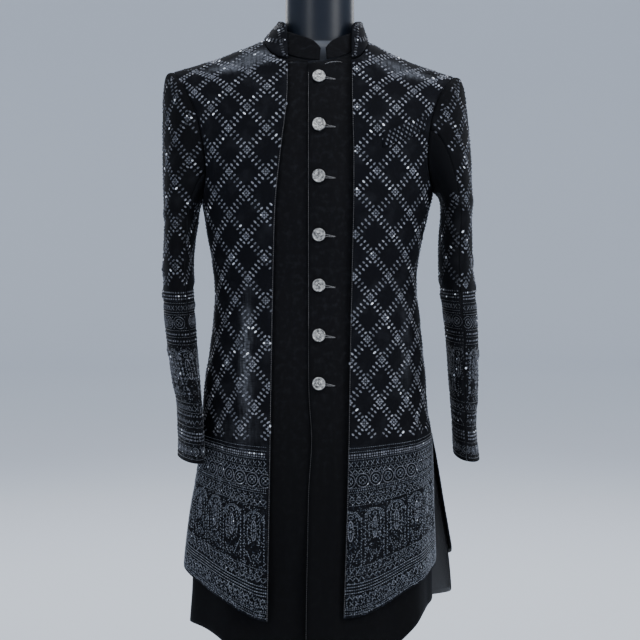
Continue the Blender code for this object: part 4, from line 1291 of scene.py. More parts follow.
class Number:
    """A number socket that takes Python's own arithmetic."""

    def __init__(self, shade: "Shade", socket: Any) -> None:
        """Wrap a socket of the shade's nodes."""
        self.shade = shade
        self.socket = socket

    def sum(self, operation: str, one: Any, two: Any) -> "Number":
        """One Math node on two values."""
        made = self.shade.node("ShaderNodeMath", {"operation": operation}, {0: one, 1: two})
        return Number(self.shade, made.outputs[0])

    def __add__(self, other: Any) -> "Number":
        """Add."""
        return self.sum("ADD", self, other)

    __radd__ = __add__

    def __sub__(self, other: Any) -> "Number":
        """Take away."""
        return self.sum("SUBTRACT", self, other)

    def __rsub__(self, other: Any) -> "Number":
        """Take this away from the other."""
        return self.sum("SUBTRACT", other, self)

    def __mul__(self, other: Any) -> "Number":
        """Multiply."""
        return self.sum("MULTIPLY", self, other)

    __rmul__ = __mul__

    def limited(self) -> "Number":
        """Held between 0 and 1."""
        return self.sum("MINIMUM", self.sum("MAXIMUM", self, 0.0), 1.0)


class Shade:
    """A Principled material and the nodes that feed it."""

    def __init__(self, name: str) -> None:
        """Start a material.

        Args:
            name: The finish's name.
        """
        self.material = bpy.data.materials.new(name)
        self.material.use_nodes = True
        self.nodes = self.material.node_tree.nodes
        self.links = self.material.node_tree.links
        self.shader = self.nodes["Principled BSDF"]

    def node(self, kind: str, settings: dict[str, Any], inputs: dict[Any, Any]) -> Any:
        """Add one node.

        Args:
            kind: The node's type.
            settings: Its own settings.
            inputs: Values or sockets for its inputs, by name or number.

        Returns:
            The node.
        """
        made = self.nodes.new(kind)
        for name, value in settings.items():
            setattr(made, name, value)
        for name, value in inputs.items():
            self.feed(made.inputs[name], value)
        return made

    def feed(self, socket: Any, value: Any) -> None:
        """Set or link one input; a colour of three numbers is opaque."""
        if isinstance(value, Number):
            self.links.new(value.socket, socket)
        elif isinstance(value, bpy.types.NodeSocket):
            self.links.new(value, socket)
        elif isinstance(value, tuple) and socket.type == "RGBA":
            socket.default_value = (*value, 1.0)
        else:
            socket.default_value = value

    def plain(self, **sockets: Any) -> None:
        """Set numbers and colours on the shader itself."""
        for name, value in sockets.items():
            self.feed(self.shader.inputs[name.replace("_", " ").title().replace("Ior", "IOR")], value)

    def coat(self, colour: Any, rough: Number, bump: Number | None = None, depth: float = 0.0) -> None:
        """Feed the shader's colour, roughness and relief.

        Args:
            colour: A colour or a socket.
            rough: The roughness.
            bump: The relief's height, if any.
            depth: How deep the relief is.
        """
        self.feed(self.shader.inputs["Base Color"], colour)
        self.feed(self.shader.inputs["Roughness"], rough)
        if bump is not None:
            made = self.node("ShaderNodeBump", {}, {"Height": bump, "Distance": depth, "Strength": 1.0})
            self.feed(self.shader.inputs["Normal"], made.outputs[0])

    def mix(self, share: Any, one: Any, two: Any) -> Any:
        """A colour between two colours."""
        return self.node("ShaderNodeMix", {"data_type": "RGBA"}, {0: share, 6: one, 7: two}).outputs[2]

    def noise(self, scale: float, detail: float, place: Any, rough: float = 0.5) -> Number:
        """A noise pattern."""
        inputs = {"Vector": place, "Scale": scale, "Detail": detail, "Roughness": rough}
        return Number(self, self.node("ShaderNodeTexNoise", {}, inputs).outputs[0])

    def drawn(self, place: Any, scale: tuple[float, float, float], detail: float) -> Number:
        """A noise pattern drawn out along an axis."""
        stretched = self.node("ShaderNodeMapping", {}, {"Vector": place, "Scale": scale}).outputs[0]
        return self.noise(1.0, detail, stretched)

    def flat(self) -> Any:
        """The cloth's flat measures, in metres."""
        return self.node("ShaderNodeUVMap", {"uv_map": "cloth"}, {}).outputs[0]

    def solid(self) -> Any:
        """The place in the object, in metres."""
        return self.node("ShaderNodeTexCoord", {}, {}).outputs["Object"]

    def height(self) -> Number:
        """The height in the object, in metres."""
        return Number(self, self.node("ShaderNodeSeparateXYZ", {}, {"Vector": self.solid()}).outputs["Z"])

    def attribute(self, name: str) -> Number:
        """A number kept on the mesh."""
        return Number(self, self.node("ShaderNodeAttribute", {"attribute_name": name}, {}).outputs["Fac"])


Colour = tuple[float, float, float]


@dataclass(frozen=True)
class Finish:
    """A finish, made into a material by what its kind paints."""

    name: str

    def paint(self, shade: Shade) -> None:
        """Feed the shader."""

    def material(self) -> bpy.types.Material:
        """Make the finish.

        Returns:
            The material.
        """
        shade = Shade(self.name)
        self.paint(shade)
        return shade.material


@dataclass(frozen=True)
class Velvet(Finish):
    """Cut-pile velvet, with painted sheen where the pile catches the light, painted shade towards the skirt's foot,
    and the worked ground of its borders.
    """

    pile: Colour = (0.0018, 0.0021, 0.0037)
    # The paler colour of the pile where its sheen is painted.
    brushed_and_sheen: Colour = (0.070, 0.076, 0.090)
    thread: Colour = (0.034, 0.042, 0.060)
    shadow: Colour = (0.0008, 0.0009, 0.0012)
    tint: Colour = (0.62, 0.70, 0.90)
    sheen: float = 0.026
    mottle: float = 0.34
    patch: float = 32.0
    # How far the painted shade darkens the skirt, and the height below which it falls.
    skirt_shade: float = 0.40
    skirt_shade_top: float = 0.80

    def paint(self, shade: Shade) -> None:
        """Mix the pile with its painted sheen, the painted shade that darkens the skirt, and the worked ground.

        Args:
            shade: The material to paint.
        """
        flat = shade.flat()
        cloud = shade.noise(self.patch, 4.0, flat, 0.62)
        sheen_and_relief_streaks = shade.drawn(flat, (260.0, 36.0, 1.0), 3.0)
        pile = shade.noise(1500.0, 2.0, flat)
        hair = shade.drawn(flat, (110.0, 760.0, 1.0), 2.0)
        # Painted sheen: the pile is painted paler within its sheen patches, more so along streaks; the random mottle
        # mixes towards the same colour.
        rough = ((sheen_and_relief_streaks - 0.34) * 3.2).limited() * ((hair - 0.32) * 2.8).limited()
        nap = shade.attribute("nap") * (0.12 + 1.25 * rough + 0.8 * (cloud - 0.50))
        ground = shade.mix((nap + (cloud - 0.50) * self.mottle).limited(), self.pile, self.brushed_and_sheen)
        # Painted shade: darker towards the bottom, below a set height.
        ground = shade.mix(((self.skirt_shade_top - shade.height()) * 4.0).limited() * self.skirt_shade, ground, self.shadow)
        fine = shade.noise(420.0, 2.0, flat, 0.6)
        coarse = shade.noise(170.0, 1.0, flat)
        worked = shade.attribute("worked")
        shown = (worked * ((fine + 0.6 * coarse - 0.90) * 6.0).limited()).limited()
        shade.coat(shade.mix(shown, ground, self.thread), 0.88 - 0.22 * shown,
                   pile * 0.3 + fine * worked * 1.2 + sheen_and_relief_streaks * 0.4, 0.00035)
        shade.plain(sheen_weight=self.sheen, sheen_roughness=0.32, sheen_tint=self.tint, specular_ior_level=0.10)


@dataclass(frozen=True)
class Lining(Finish):
    """A smooth dark lining."""

    name: str = "lining"
    colour: Colour = (0.050, 0.050, 0.053)
    dark: Colour = (0.036, 0.036, 0.03816)

    def paint(self, shade: Shade) -> None:
        """Weave it on the diagonal.

        Args:
            shade: The material to paint.
        """
        flat = shade.flat()
        weave = shade.node("ShaderNodeTexWave", {"wave_type": "BANDS", "bands_direction": "DIAGONAL"},
                           {"Vector": flat, "Scale": 420.0, "Distortion": 0.4}).outputs["Fac"]
        cloud = shade.noise(24.0, 2.0, flat)
        shade.coat(shade.mix(cloud, self.dark, self.colour), 0.42 + 0.12 * cloud, Number(shade, weave), 0.00008)


@dataclass(frozen=True)
class Glitter(Finish):
    """Silvery sequins, some duller than others, and a few painted near white as glints."""

    dull: Colour = (0.055, 0.060, 0.072)
    bright: Colour = (0.235, 0.248, 0.288)
    painted_glint: Colour = (0.72, 0.76, 0.84)

    def paint(self, shade: Shade) -> None:
        """Let each sequin take its own share of light.

        Args:
            shade: The material to paint.
        """
        glint = shade.attribute("glint")
        share = (glint * 0.8 + shade.noise(900.0, 1.0, shade.solid()) * 0.5 - 0.15).limited()
        lit = shade.mix(share, self.dull, self.bright)
        # Painted glint: a few sequins, picked at random, are painted near white.
        shade.coat(shade.mix(((glint - 0.972) * 200.0).limited(), lit, self.painted_glint), 0.59 - 0.25 * share)
        shade.plain(metallic=0.75)


@dataclass(frozen=True)
class Thread(Finish):
    """Embroidery thread with a little lustre."""

    dark: Colour = (0.026, 0.033, 0.048)
    light: Colour = (0.170, 0.190, 0.225)

    def paint(self, shade: Shade) -> None:
        """Let each stitch take its own shade.

        Args:
            shade: The material to paint.
        """
        twist = shade.noise(2600.0, 1.0, shade.solid())
        shade.coat(shade.mix(shade.attribute("glint"), self.dark, self.light), 0.42 + 0.2 * twist, twist, 0.00012)
        shade.plain(sheen_weight=0.3, sheen_roughness=0.3)


@dataclass(frozen=True)
class Silver(Finish):
    """Cast silvery metal with darkened hollows."""

    name: str = "button_silver"
    hollow: Colour = (0.100, 0.100, 0.100)
    metal: Colour = (0.52, 0.52, 0.51)

    def paint(self, shade: Shade) -> None:
        """Darken the hollows of a rough casting.

        Args:
            shade: The material to paint.
        """
        place = shade.solid()
        grain, cloud = shade.noise(1100.0, 3.0, place), shade.noise(300.0, 2.0, place)
        shade.coat(shade.mix((cloud * 3.0 - 0.95).limited(), self.hollow, self.metal), 0.26 + 0.22 * grain,
                   grain + 1.2 * cloud, 0.00045)
        shade.plain(metallic=0.9)


@dataclass(frozen=True)
class Gloss(Finish):
    """The form's glossy black lacquer over a smooth shell, with a painted reflection: a pale band at the foot of the
    neck.
    """

    name: str = "form_gloss"
    black: Colour = (0.005, 0.007, 0.012)
    blue: Colour = (0.009, 0.013, 0.021)
    # The painted reflection's colour, and the heights between which it lies.
    pale: Colour = (0.075, 0.085, 0.105)
    reflection_low: float = 1.2060
    reflection_high: float = 1.2325

    def paint(self, shade: Shade) -> None:
        """Cloud the lacquer, dust it and paint a reflection as a pale band at the neck's foot.

        Args:
            shade: The material to paint.
        """
        place = shade.solid()
        cloud, dust = shade.noise(14.0, 3.0, place), shade.noise(420.0, 2.0, place)
        height = shade.height()
        # Painted reflection: a pale band round the neck's foot, where it faces up to the top lamp.
        foot = ((self.reflection_high - height) * 400.0).limited() * ((height - self.reflection_low) * 42.0).limited()
        shade.coat(shade.mix(foot, shade.mix(cloud, self.black, self.blue), self.pale),
                   0.30 + 0.10 * cloud + 0.04 * dust, dust * 0.3 + cloud, 0.0001)
        shade.plain(specular_ior_level=0.22)


@dataclass(frozen=True)
class Steel(Finish):
    """Brushed steel."""

    name: str = "stand_steel"
    dark: Colour = (0.50, 0.50, 0.51)
    light: Colour = (0.66, 0.66, 0.67)

    def paint(self, shade: Shade) -> None:
        """Brush it round.

        Args:
            shade: The material to paint.
        """
        brushed_and_sheen = shade.drawn(shade.solid(), (90.0, 90.0, 1400.0), 3.0)
        shade.coat(shade.mix(brushed_and_sheen, self.dark, self.light), 0.24 + 0.16 * brushed_and_sheen, brushed_and_sheen, 0.00006)
        shade.plain(metallic=1.0)


@dataclass(frozen=True)
class Paper(Finish):
    """The studio's pale paper."""

    name: str = "studio_paper"
    pale: Colour = (0.72, 0.76, 0.82)
    darker: Colour = (0.6912, 0.7296, 0.7872)

    def paint(self, shade: Shade) -> None:
        """Cloud it softly."""
        shade.feed(shade.shader.inputs["Base Color"],
                   shade.mix(shade.noise(0.7, 2.0, shade.solid()), self.darker, self.pale))
        shade.plain(roughness=0.9)


class Wardrobe:
    """The finishes, each made once."""

    def __init__(self) -> None:
        """Make every finish."""
        self.outer = Velvet("embroidered_velvet").material()
        # The sleeves take a painted-shade copy of the coat's velvet: darker pile and less sheen.
        self.sleeve = Velvet("sleeve_velvet", pile=(0.0010, 0.0012, 0.0021), sheen=0.012, mottle=0.20).material()
        self.inner = Velvet("plain_velvet", pile=(0.0026, 0.0027, 0.0036), sheen=0.030, mottle=0.32, patch=110.0,
                            skirt_shade=0.70).material()
        self.lining = Lining().material()
        self.piping = Thread("piping_cord", (0.050, 0.050, 0.054), (0.130, 0.130, 0.136)).material()
        self.shaded = Thread("shaded_cord", (0.018, 0.018, 0.020), (0.050, 0.050, 0.054)).material()
        self.hole = Thread("buttonhole_thread", (0.10, 0.10, 0.10), (0.24, 0.24, 0.25)).material()
        self.silver = Silver().material()
        self.gloss = Gloss().material()
        self.steel = Steel().material()
        glitter = Glitter("sequin_silver").material()
        self.beads = {Bead.SEQUIN: glitter, Bead.PEARL: glitter, Bead.STITCH: Thread("embroidery_thread").material()}
        # Painted shade: darker copies of the sequins and thread for the sleeves and the welt, and darker still for the
        # left under sleeve and the collar.
        self.shaded_beads = {
            Bead.SEQUIN: Glitter("sequin_smoke", (0.016, 0.018, 0.024), (0.150, 0.160, 0.190)).material(),
            Bead.STITCH: Thread("shaded_thread", (0.012, 0.015, 0.023), (0.085, 0.095, 0.118)).material(),
        }
        self.deep_shaded_beads = {
            Bead.SEQUIN: Glitter("sequin_night", (0.010, 0.011, 0.014), (0.075, 0.080, 0.096)).material(),
            Bead.PEARL: glitter,
            Bead.STITCH: Thread("faint_thread", (0.008, 0.010, 0.015), (0.040, 0.045, 0.056)).material(),
        }

    def hang(self, cloth: Cloth, finish: bpy.types.Material, slot: str, held: str = "hung",
             rests_on: str = "form_body") -> bpy.types.Object:
        """Build a piece of cloth, put it in its node's place and log its cut.

        Args:
            cloth: The piece.
            finish: The face's material.
            slot: Not used.
            held: Not used.
            rests_on: Not used.

        Returns:
            The piece.
        """
        item = cloth.build(finish, self.lining)
        fit(item, cloth.node)
        cut = cloth.cut()
        area = cut.area if cut.area >= 0.3 * cut.width * cut.length else None
        log.info("%s: cut %.0f by %.0f mm", item.name, cut.width * 1000.0, cut.length * 1000.0)
        return item


def edge_line(cloth: Cloth, low: float, high: float, inset: float, finish: bpy.types.Material, slot: str,
              word: str = "_edge") -> None:
    """Sew a fine line of stitches along a front's edge.

    Args:
        cloth: The front.
        low: Flat height of the line's foot.
        high: Flat height of its top.
        inset: Distance in from the edge.
        finish: The thread.
        slot: The record's slot.
        word: What the line's name adds to the front's.
    """
    work = Beadwork(cloth, 61, word)
    for t in np.arange(max(low, float(cloth.t[0, 0]) + 0.003), high, 0.0031):
        s = float(np.interp(t, cloth.t[:, 0], cloth.s[:, 0])) + inset
        work.stitch(s, float(t), 90.0, 0.0033, 0.0009)
    work.finish({Bead.STITCH: finish}, slot)


@dataclass
class Coat:
    """What both coats share: how their fronts and back are cut, and the seam their collar stands on."""

    wardrobe: Wardrobe
    word: str
    line: float
    thickness: float
    neckline: Neckline
    columns: int
    back_columns: int
    low_rows: int
    top_rows: int
    calm_t: float
    calm_run: float

    def laid(self, node: str, skin: np.ndarray, side: Side | None) -> Cloth:
        """A piece of the body, laid flat and creased up to its calm shoulder.

        Args:
            node: The piece's name.
            skin: Its grid of points.
            side: Its side, or None for the back.

        Returns:
            The piece.
        """
        cloth = Cloth(node, skin, self.thickness)
        cloth.measure_body(side, self.low_rows)
        cloth.crease(CREASES.get(node, ()), 1.0 - smooth((cloth.t - self.calm_t) / self.calm_run))
        return cloth

    def front(self, side: Side, edge: Callable, kind: type[Panel] = Panel) -> Cloth:
        """One front, cut along its inner edge.

        Args:
            side: The wearer's right or left.
            edge: The inner edge at a height.
            kind: The kind of panel.

        Returns:
            The piece.
        """
        panel = kind(Face.FRONT, side, self.line, edge, self.neckline, partial(HEMS, self.word + "_" + side.word))
        node = self.word + "_front_" + side.word
        return self.laid(node, panel.skin(self.columns, self.low_rows, self.top_rows), side)

    def back(self) -> Cloth:
        """The back, cut in one piece.

        Returns:
            The piece.
        """
        halves = []
        for side in Side:
            half = BackHalf(Face.BACK, side, self.line, lambda z: 0.0, self.neckline, partial(BACK_HEMS, self.word))
            halves.append(half.skin(self.back_columns, self.low_rows, self.top_rows))
        return self.laid(self.word + "_back", np.concatenate([halves[0][:, ::-1], halves[1][:, 1:]], axis=1), None)

    def neck_seam(self, pieces: dict[str, Cloth], starts: tuple[float, float] = (-1.0, -1.0)) -> np.ndarray:
        """The collar's seam, round the neck from the right front's edge.

        Args:
            pieces: The coat's pieces.
            starts: How far from the middle the seam starts on the right front and ends on the left.

        Returns:
            Points along the seam.
        """
        parts = []
        for side, start in zip(Side, starts):
            front = pieces[self.word + "_front_" + side.word]
            throat = self.low_rows + round(NECK_SHARE * self.top_rows)
            points = (front.face - front.normal * front.thickness)[throat:, 0]
            reach = side.value * points[:, 0]
            first = int(np.argmax(reach > start))
            if first:
                share = (start - reach[first - 1]) / (reach[first] - reach[first - 1])
                points = np.concatenate([[between(points[first - 1], points[first], share)], points[first:]])
            parts.append(points)
        back = pieces[self.word + "_back"]
        top = (back.face - back.normal * back.thickness)[-1]
        reach = round(self.neckline.knee * self.back_columns)
        nape = top[self.back_columns - reach:self.back_columns + reach + 1]
        return np.concatenate([parts[0], nape, parts[1][::-1]])


def widening(low: float, more: float, start: float = 0.66, run: float = 0.36) -> Callable[[float], float]:
    """A distance that grows up the cloth."""
    return lambda t: low + more * smooth((t - start) / run)


def right_column(t: float) -> float:
    """Where the lattice's first column runs on the right front."""
    return -0.0730 - 0.0050 * math.exp(-(((t - 0.92) / 0.11) ** 2)) + 0.004 * smooth((0.80 - t) / 0.15)


KNOT_T = 1.0976
LATTICES = {
    Side.RIGHT: Lattice(right_column, widening(0.0246, 0.0052), row=0.0322, start=KNOT_T, low=0.632,
                        columns=range(-9, 4)),
    Side.LEFT: Lattice(widening(0.0735, 0.0185, start=0.64, run=0.40), widening(0.0250, 0.0055), row=0.0316,
                       start=KNOT_T, low=0.632, columns=range(-4, 9)),
    None: Lattice(widening(0.0, 0.0), widening(0.0252, 0.0052), row=0.0320, start=KNOT_T, low=0.640,
                  columns=range(-11, 12)),
}
HEM_CENTRES = {Side.RIGHT: -0.0760, Side.LEFT: 0.0712, None: 0.0}

# Oval patches of painted sheen, where the pile is painted paler as it catches the light: across, up, half sizes and
# strength.
SHEEN_PATCHES = {
    "outer_front_right": ((-0.1095, 0.745, 0.0095, 0.080, 1.50), (-0.125, 1.222, 0.042, 0.015, 2.6),
                          (-0.085, 1.244, 0.026, 0.011, 2.0), (-0.130, 0.640, 0.050, 0.030, 0.25)),
    "outer_front_left": ((0.150, 1.208, 0.030, 0.013, 1.5), (0.120, 1.222, 0.035, 0.012, 1.1),
                         (0.150, 0.760, 0.012, 0.060, 0.30)),
    "outer_back": ((0.080, 0.800, 0.016, 0.110, 0.6), (-0.120, 1.180, 0.050, 0.016, 0.8),
                   (0.135, 1.170, 0.040, 0.014, 0.7)),
}

# One side's sleeve: its form, then where a column, a knot and an arch of its sewing show from the front.
SleevePlan = namedtuple("SleevePlan",
                        "table seam outer_z inner_z pit fullness column_x knot_z arch_x arch_shift ground")
SLEEVES = {
    Side.RIGHT: SleevePlan(RIGHT_SLEEVE, seam=122.0, outer_z=0.5920, inner_z=0.5930, pit=0.014, fullness=0.037,
                           column_x=-0.2135, knot_z=1.0180, arch_x=-0.1902, arch_shift=0.0, ground=0.40),
    Side.LEFT: SleevePlan(LEFT_SLEEVE, seam=86.0, outer_z=0.5870, inner_z=0.5985, pit=0.060, fullness=0.038,
                          column_x=0.2285, knot_z=0.9915, arch_x=0.2322, arch_shift=0.015, ground=0.15),
}


@dataclass
class OuterCoat(Coat):
    """The open, embroidered coat: two fronts, a back, two sleeves, a stand collar and a chest welt."""

    word: str = "outer"
    line: float = OUTER_LINE
    thickness: float = OUTER_CLOTH
    neckline: Neckline = Neckline(0.078, 1.2000, 1.2240, 0.4)
    columns: int = 46
    back_columns: int = 46
    low_rows: int = 104
    top_rows: int = 34
    calm_t: float = 1.13
    calm_run: float = 0.06
    arm_rows: int = 74
    cap_rows: int = 44
    arm_x: float = 0.215
    arm_radius: float = 0.04
    arm_seam_gap: float = 0.0001
    top_start: float = -96.0
    top_columns: int = 40
    under_columns: int = 34
    border_rise: float = 0.010
    border_side_x: float = 0.18
    arch_z: float = 0.7276

    def trim_body(self, cloth: Cloth, side: Side | None, seed: int) -> None:
        """Sew a front's or the back's lattice and the border above its hem.

        Args:
            cloth: The piece.
            side: The front's side, or None for the back.
            seed: What the piece's chance starts from.
        """
        work = Beadwork(cloth, seed)
        LATTICES[side].sew(work)
        order = np.argsort(cloth.s[0])
        foot_s, foot_t = cloth.s[0][order], cloth.t[0][order]

        def line(s: float) -> float:
            """The border's top, a little higher towards the sides."""
            return HEM_TOP + self.border_rise * abs(s) / self.border_side_x

        level = line(0.1)
        share = np.clip((level - cloth.t) / np.maximum(level - cloth.t[:1], 0.05), -0.2, 1.0)
        # Painted shade: on the right front the worked ground fades in from half strength at the border's top, so that
        # part reads darker.
        top_ground = 1.0 if side is Side.LEFT else 0.5
        cloth.worked = smooth((share + 0.01) / 0.03) * between(top_ground, 1.0, smooth(share / 0.6))
        border = Border(work, line, lambda s: float(np.interp(s, foot_s, foot_t)), float(foot_s[0]) + 0.003,
                        float(foot_s[-1]) - 0.003, HEM_CENTRES[side])
        border.sew(HEM_BANDS)
        work.finish(self.wardrobe.beads, "outer_velvet")

    def sleeve(self, side: Side) -> list[Cloth]:
        """A sleeve's top and under pieces, creased.

        Args:
            side: The wearer's right or left.

        Returns:
            The top piece and the under piece.
        """
        plan = SLEEVES[side]
        gap = math.degrees(self.arm_seam_gap / self.arm_radius)
        made = []
        for word, first, last, columns in (
                ("top", self.top_start + gap, plan.seam - gap, self.top_columns),
                ("under", plan.seam + gap, self.top_start + 360.0 - gap, self.under_columns)):
            half = SleeveHalf(side, plan.table, first, last, plan.outer_z, plan.inner_z, plan.pit, plan.fullness)
            cloth = Cloth("sleeve_" + word + "_" + side.word, half.skin(columns, self.arm_rows, self.cap_rows),
                          self.thickness, side.value * self.arm_x)
            crown = round((0.0 - first) / (last - first) * columns) if word == "top" else columns // 2
            cloth.measure_sleeve(self.arm_rows, crown)
            cloth.crease(CREASES[cloth.node])
            made.append(cloth)
        return made

    def trim_sleeve(self, cloth: Cloth, side: Side, seed: int, middle: Callable, start: float, line: float,
                    arch_s: float) -> None:
        """Sew a sleeve piece's lattice and the border above its cuff.

        Args:
            cloth: The piece.
            side: The sleeve's side.
            seed: What the piece's chance starts from.
            middle: Where the lattice's first column runs.
            start: The height of one row of knots.
            line: The top of the cuff's border.
            arch_s: Where one of the border's arches stands.
        """
        work = Beadwork(cloth, seed)
        Lattice(middle, widening(0.0250, 0.0), row=0.0322, start=start, low=line + 0.012,
                columns=range(-9, 8)).sew(work)
        low = cloth.s[cloth.t < line]
        border = Border(work, lambda s: line, lambda s: float(np.interp(s, cloth.s[0], cloth.t[0])),
                        float(low.min()) + 0.002, float(low.max()) - 0.002, middle(0.80))
        border.sew(cuff_bands((arch_s - border.centre) / CUFF_ARCH))
        cloth.worked = smooth((line - cloth.t) / 0.008) * SLEEVES[side].ground
        # The left under sleeve, turned to the body, takes the deepest painted shade.
        shaded = cloth.node == "sleeve_under_left"
        work.finish(self.wardrobe.deep_shaded_beads if shaded else self.wardrobe.shaded_beads, "outer_velvet")

    def trim_sleeves(self, top: Cloth, under: Cloth, side: Side, seed: int) -> None:
        """Sew a whole sleeve, the under piece at the heights of the top one.

        Args:
            top: The top piece.
            under: The under piece.
            side: The sleeve's side.
            seed: What the top piece's chance starts from.
        """
        plan = SLEEVES[side]
        spots = [spot for z in np.arange(0.86, 1.16, 0.01) if (spot := top.seen_at(plan.column_x, float(z)))]
        keys, values = [spot.t for spot in spots], [spot.s for spot in spots]
        start = top.seen_at(plan.column_x, plan.knot_z).t
        self.trim_sleeve(top, side, seed, lambda t: float(np.interp(t, keys, values)), start, CUFF_TOP,
                         top.seen_at(plan.arch_x, self.arch_z).s + plan.arch_shift)
        rows = np.arange(top.t.shape[0])
        crown = top.t[:, int(np.argmin(np.abs(top.s[0])))]
        inside = under.t[:, under.t.shape[1] // 2]
        start, line = (float(np.interp(np.interp(t, crown, rows), rows, inside)) for t in (start, CUFF_TOP))
        self.trim_sleeve(under, side, seed + 2, lambda t: 0.0, start, line, 0.0)

    def build(self) -> dict[str, Cloth]:
        """Cut, crease, embroider and hang every piece.

        Returns:
            The pieces by node.
        """
        pieces = []
        for seed, side in enumerate(Side, start=11):
            cloth = self.front(side, partial(FRONT_EDGES, side.word))
            self.trim_body(cloth, side, seed)
            edge_line(cloth, 0.0, 1.190, side.value * 0.0010, self.wardrobe.piping, "outer_velvet")
            pieces.append(cloth)
        pieces.append(self.back())
        self.trim_body(pieces[-1], None, 13)
        for seed, side in enumerate(Side, start=21):
            top, under = self.sleeve(side)
            self.trim_sleeves(top, under, side, seed)
            pieces += [top, under]
        for cloth in pieces:
            for place in SHEEN_PATCHES.get(cloth.node, ()):
                cloth.brush(*place)
            self.wardrobe.hang(cloth, self.wardrobe.sleeve if "sleeve" in cloth.node else self.wardrobe.outer,
                               "outer_velvet")
        return {cloth.node: cloth for cloth in pieces}

    def collar(self, pieces: dict[str, Cloth]) -> None:
        """The stand collar, with its lattice and one pale bead at its right edge.

        Args:
            pieces: The coat's pieces by node.
        """
        band = Collar("outer_collar", self.neck_seam(pieces), rise=0.0033, sides=(0.0625, 0.0720, 0.0640),
                      ends=(53.0, 51.0), heights=(1.2590, 1.2640, 1.2700), rounded=0.04, cut=0.06,
                      thickness=0.0022).cloth(columns=110, rows=14)
        work = Beadwork(band, 31)
        Lattice(widening(0.0, 0.0), widening(0.0360, 0.0), row=0.0270, start=0.0050, low=-0.0100,
                columns=range(-8, 9), high=0.0700).sew(work)
        half_way = 7
        work.sew(Bead.PEARL, float(band.s[half_way, 0]) + 0.0022, float(band.t[half_way, 0]), turn=0.0,
                 length=0.0036, width=0.0036, height=0.0030)
        work.finish(self.wardrobe.deep_shaded_beads, "outer_velvet")
        self.wardrobe.hang(band, self.wardrobe.outer, "outer_velvet")


def underlap_edge(z: Any) -> Any:
    """The inner right front's edge, hidden under the lap."""
    return -0.0200 + 0.0 * z


def placket_edge(z: Any) -> Any:
    """The lapped inner front's edge."""
    return -0.0115 - 0.0040 * smooth((0.60 - z) / 0.3) + 0.0045 * np.exp(-(((z - 0.63) / 0.05) ** 2))


@dataclass
class InnerCoat(Coat):
    """The plain buttoned coat: two lapping fronts, a back and a band collar."""

    word: str = "inner"
    line: float = INNER_LINE
    thickness: float = INNER_CLOTH
    neckline: Neckline = Neckline(0.070, 1.1970, 1.2200, 0.375)
    columns: int = 40
    back_columns: int = 34
    low_rows: int = 100
    top_rows: int = 30
    calm_t: float = 1.17
    calm_run: float = 0.03
    piping_foot: float = 0.800
    inset: float = 0.0009

    def build(self) -> dict[str, Cloth]:
        """Cut, crease and hang every piece.

        Returns:
            The pieces by node.
        """
        lap = self.front(Side.LEFT, placket_edge, LapPanel)
        edge_line(lap, self.piping_foot, 1.185, self.inset, self.wardrobe.piping, "inner_velvet")
        edge_line(lap, 0.0, self.piping_foot, self.inset, self.wardrobe.shaded, "inner_velvet", "_low_edge")
        self.neck_stitches(lap)
        pieces = {cloth.node: cloth for cloth in (self.front(Side.RIGHT, underlap_edge), lap, self.back())}
        for cloth in pieces.values():
            self.wardrobe.hang(cloth, self.wardrobe.inner, "inner_velvet")
        return pieces

    def neck_stitches(self, cloth: Cloth) -> None:
        """Sew the pale stitches that hold the collar to the lap.

        Args:
            cloth: The lapped front.
        """
        work = Beadwork(cloth, 62, "_neck")
        for x in np.arange(0.0145, 0.0400, 0.0022).tolist():
            rise = 0.0042 * math.sin(math.pi * min((x - 0.0125) / 0.0380, 1.0))
            spot = cloth.seen_at(x, 1.1935 + rise)
            if spot:
                work.stitch(spot.s, spot.t, turn=8.0, length=0.0026, width=0.0012, height=0.0007)
        work.finish({Bead.STITCH: self.wardrobe.hole}, "inner_velvet")

    def collar(self, pieces: dict[str, Cloth]) -> None:
        """The band collar, notched at the throat."""
        band = Collar("inner_collar", self.neck_seam(pieces, starts=(-0.0055, 0.0162)), rise=0.0020,
                      sides=(0.0575, 0.0780, 0.0575), ends=(-2.0, 8.0), heights=(1.2260, 1.2500, 1.2600),
                      rounded=0.06, cut=0.30, thickness=self.thickness).cloth(columns=120, rows=14)
        self.wardrobe.hang(band, self.wardrobe.inner, "inner_velvet")


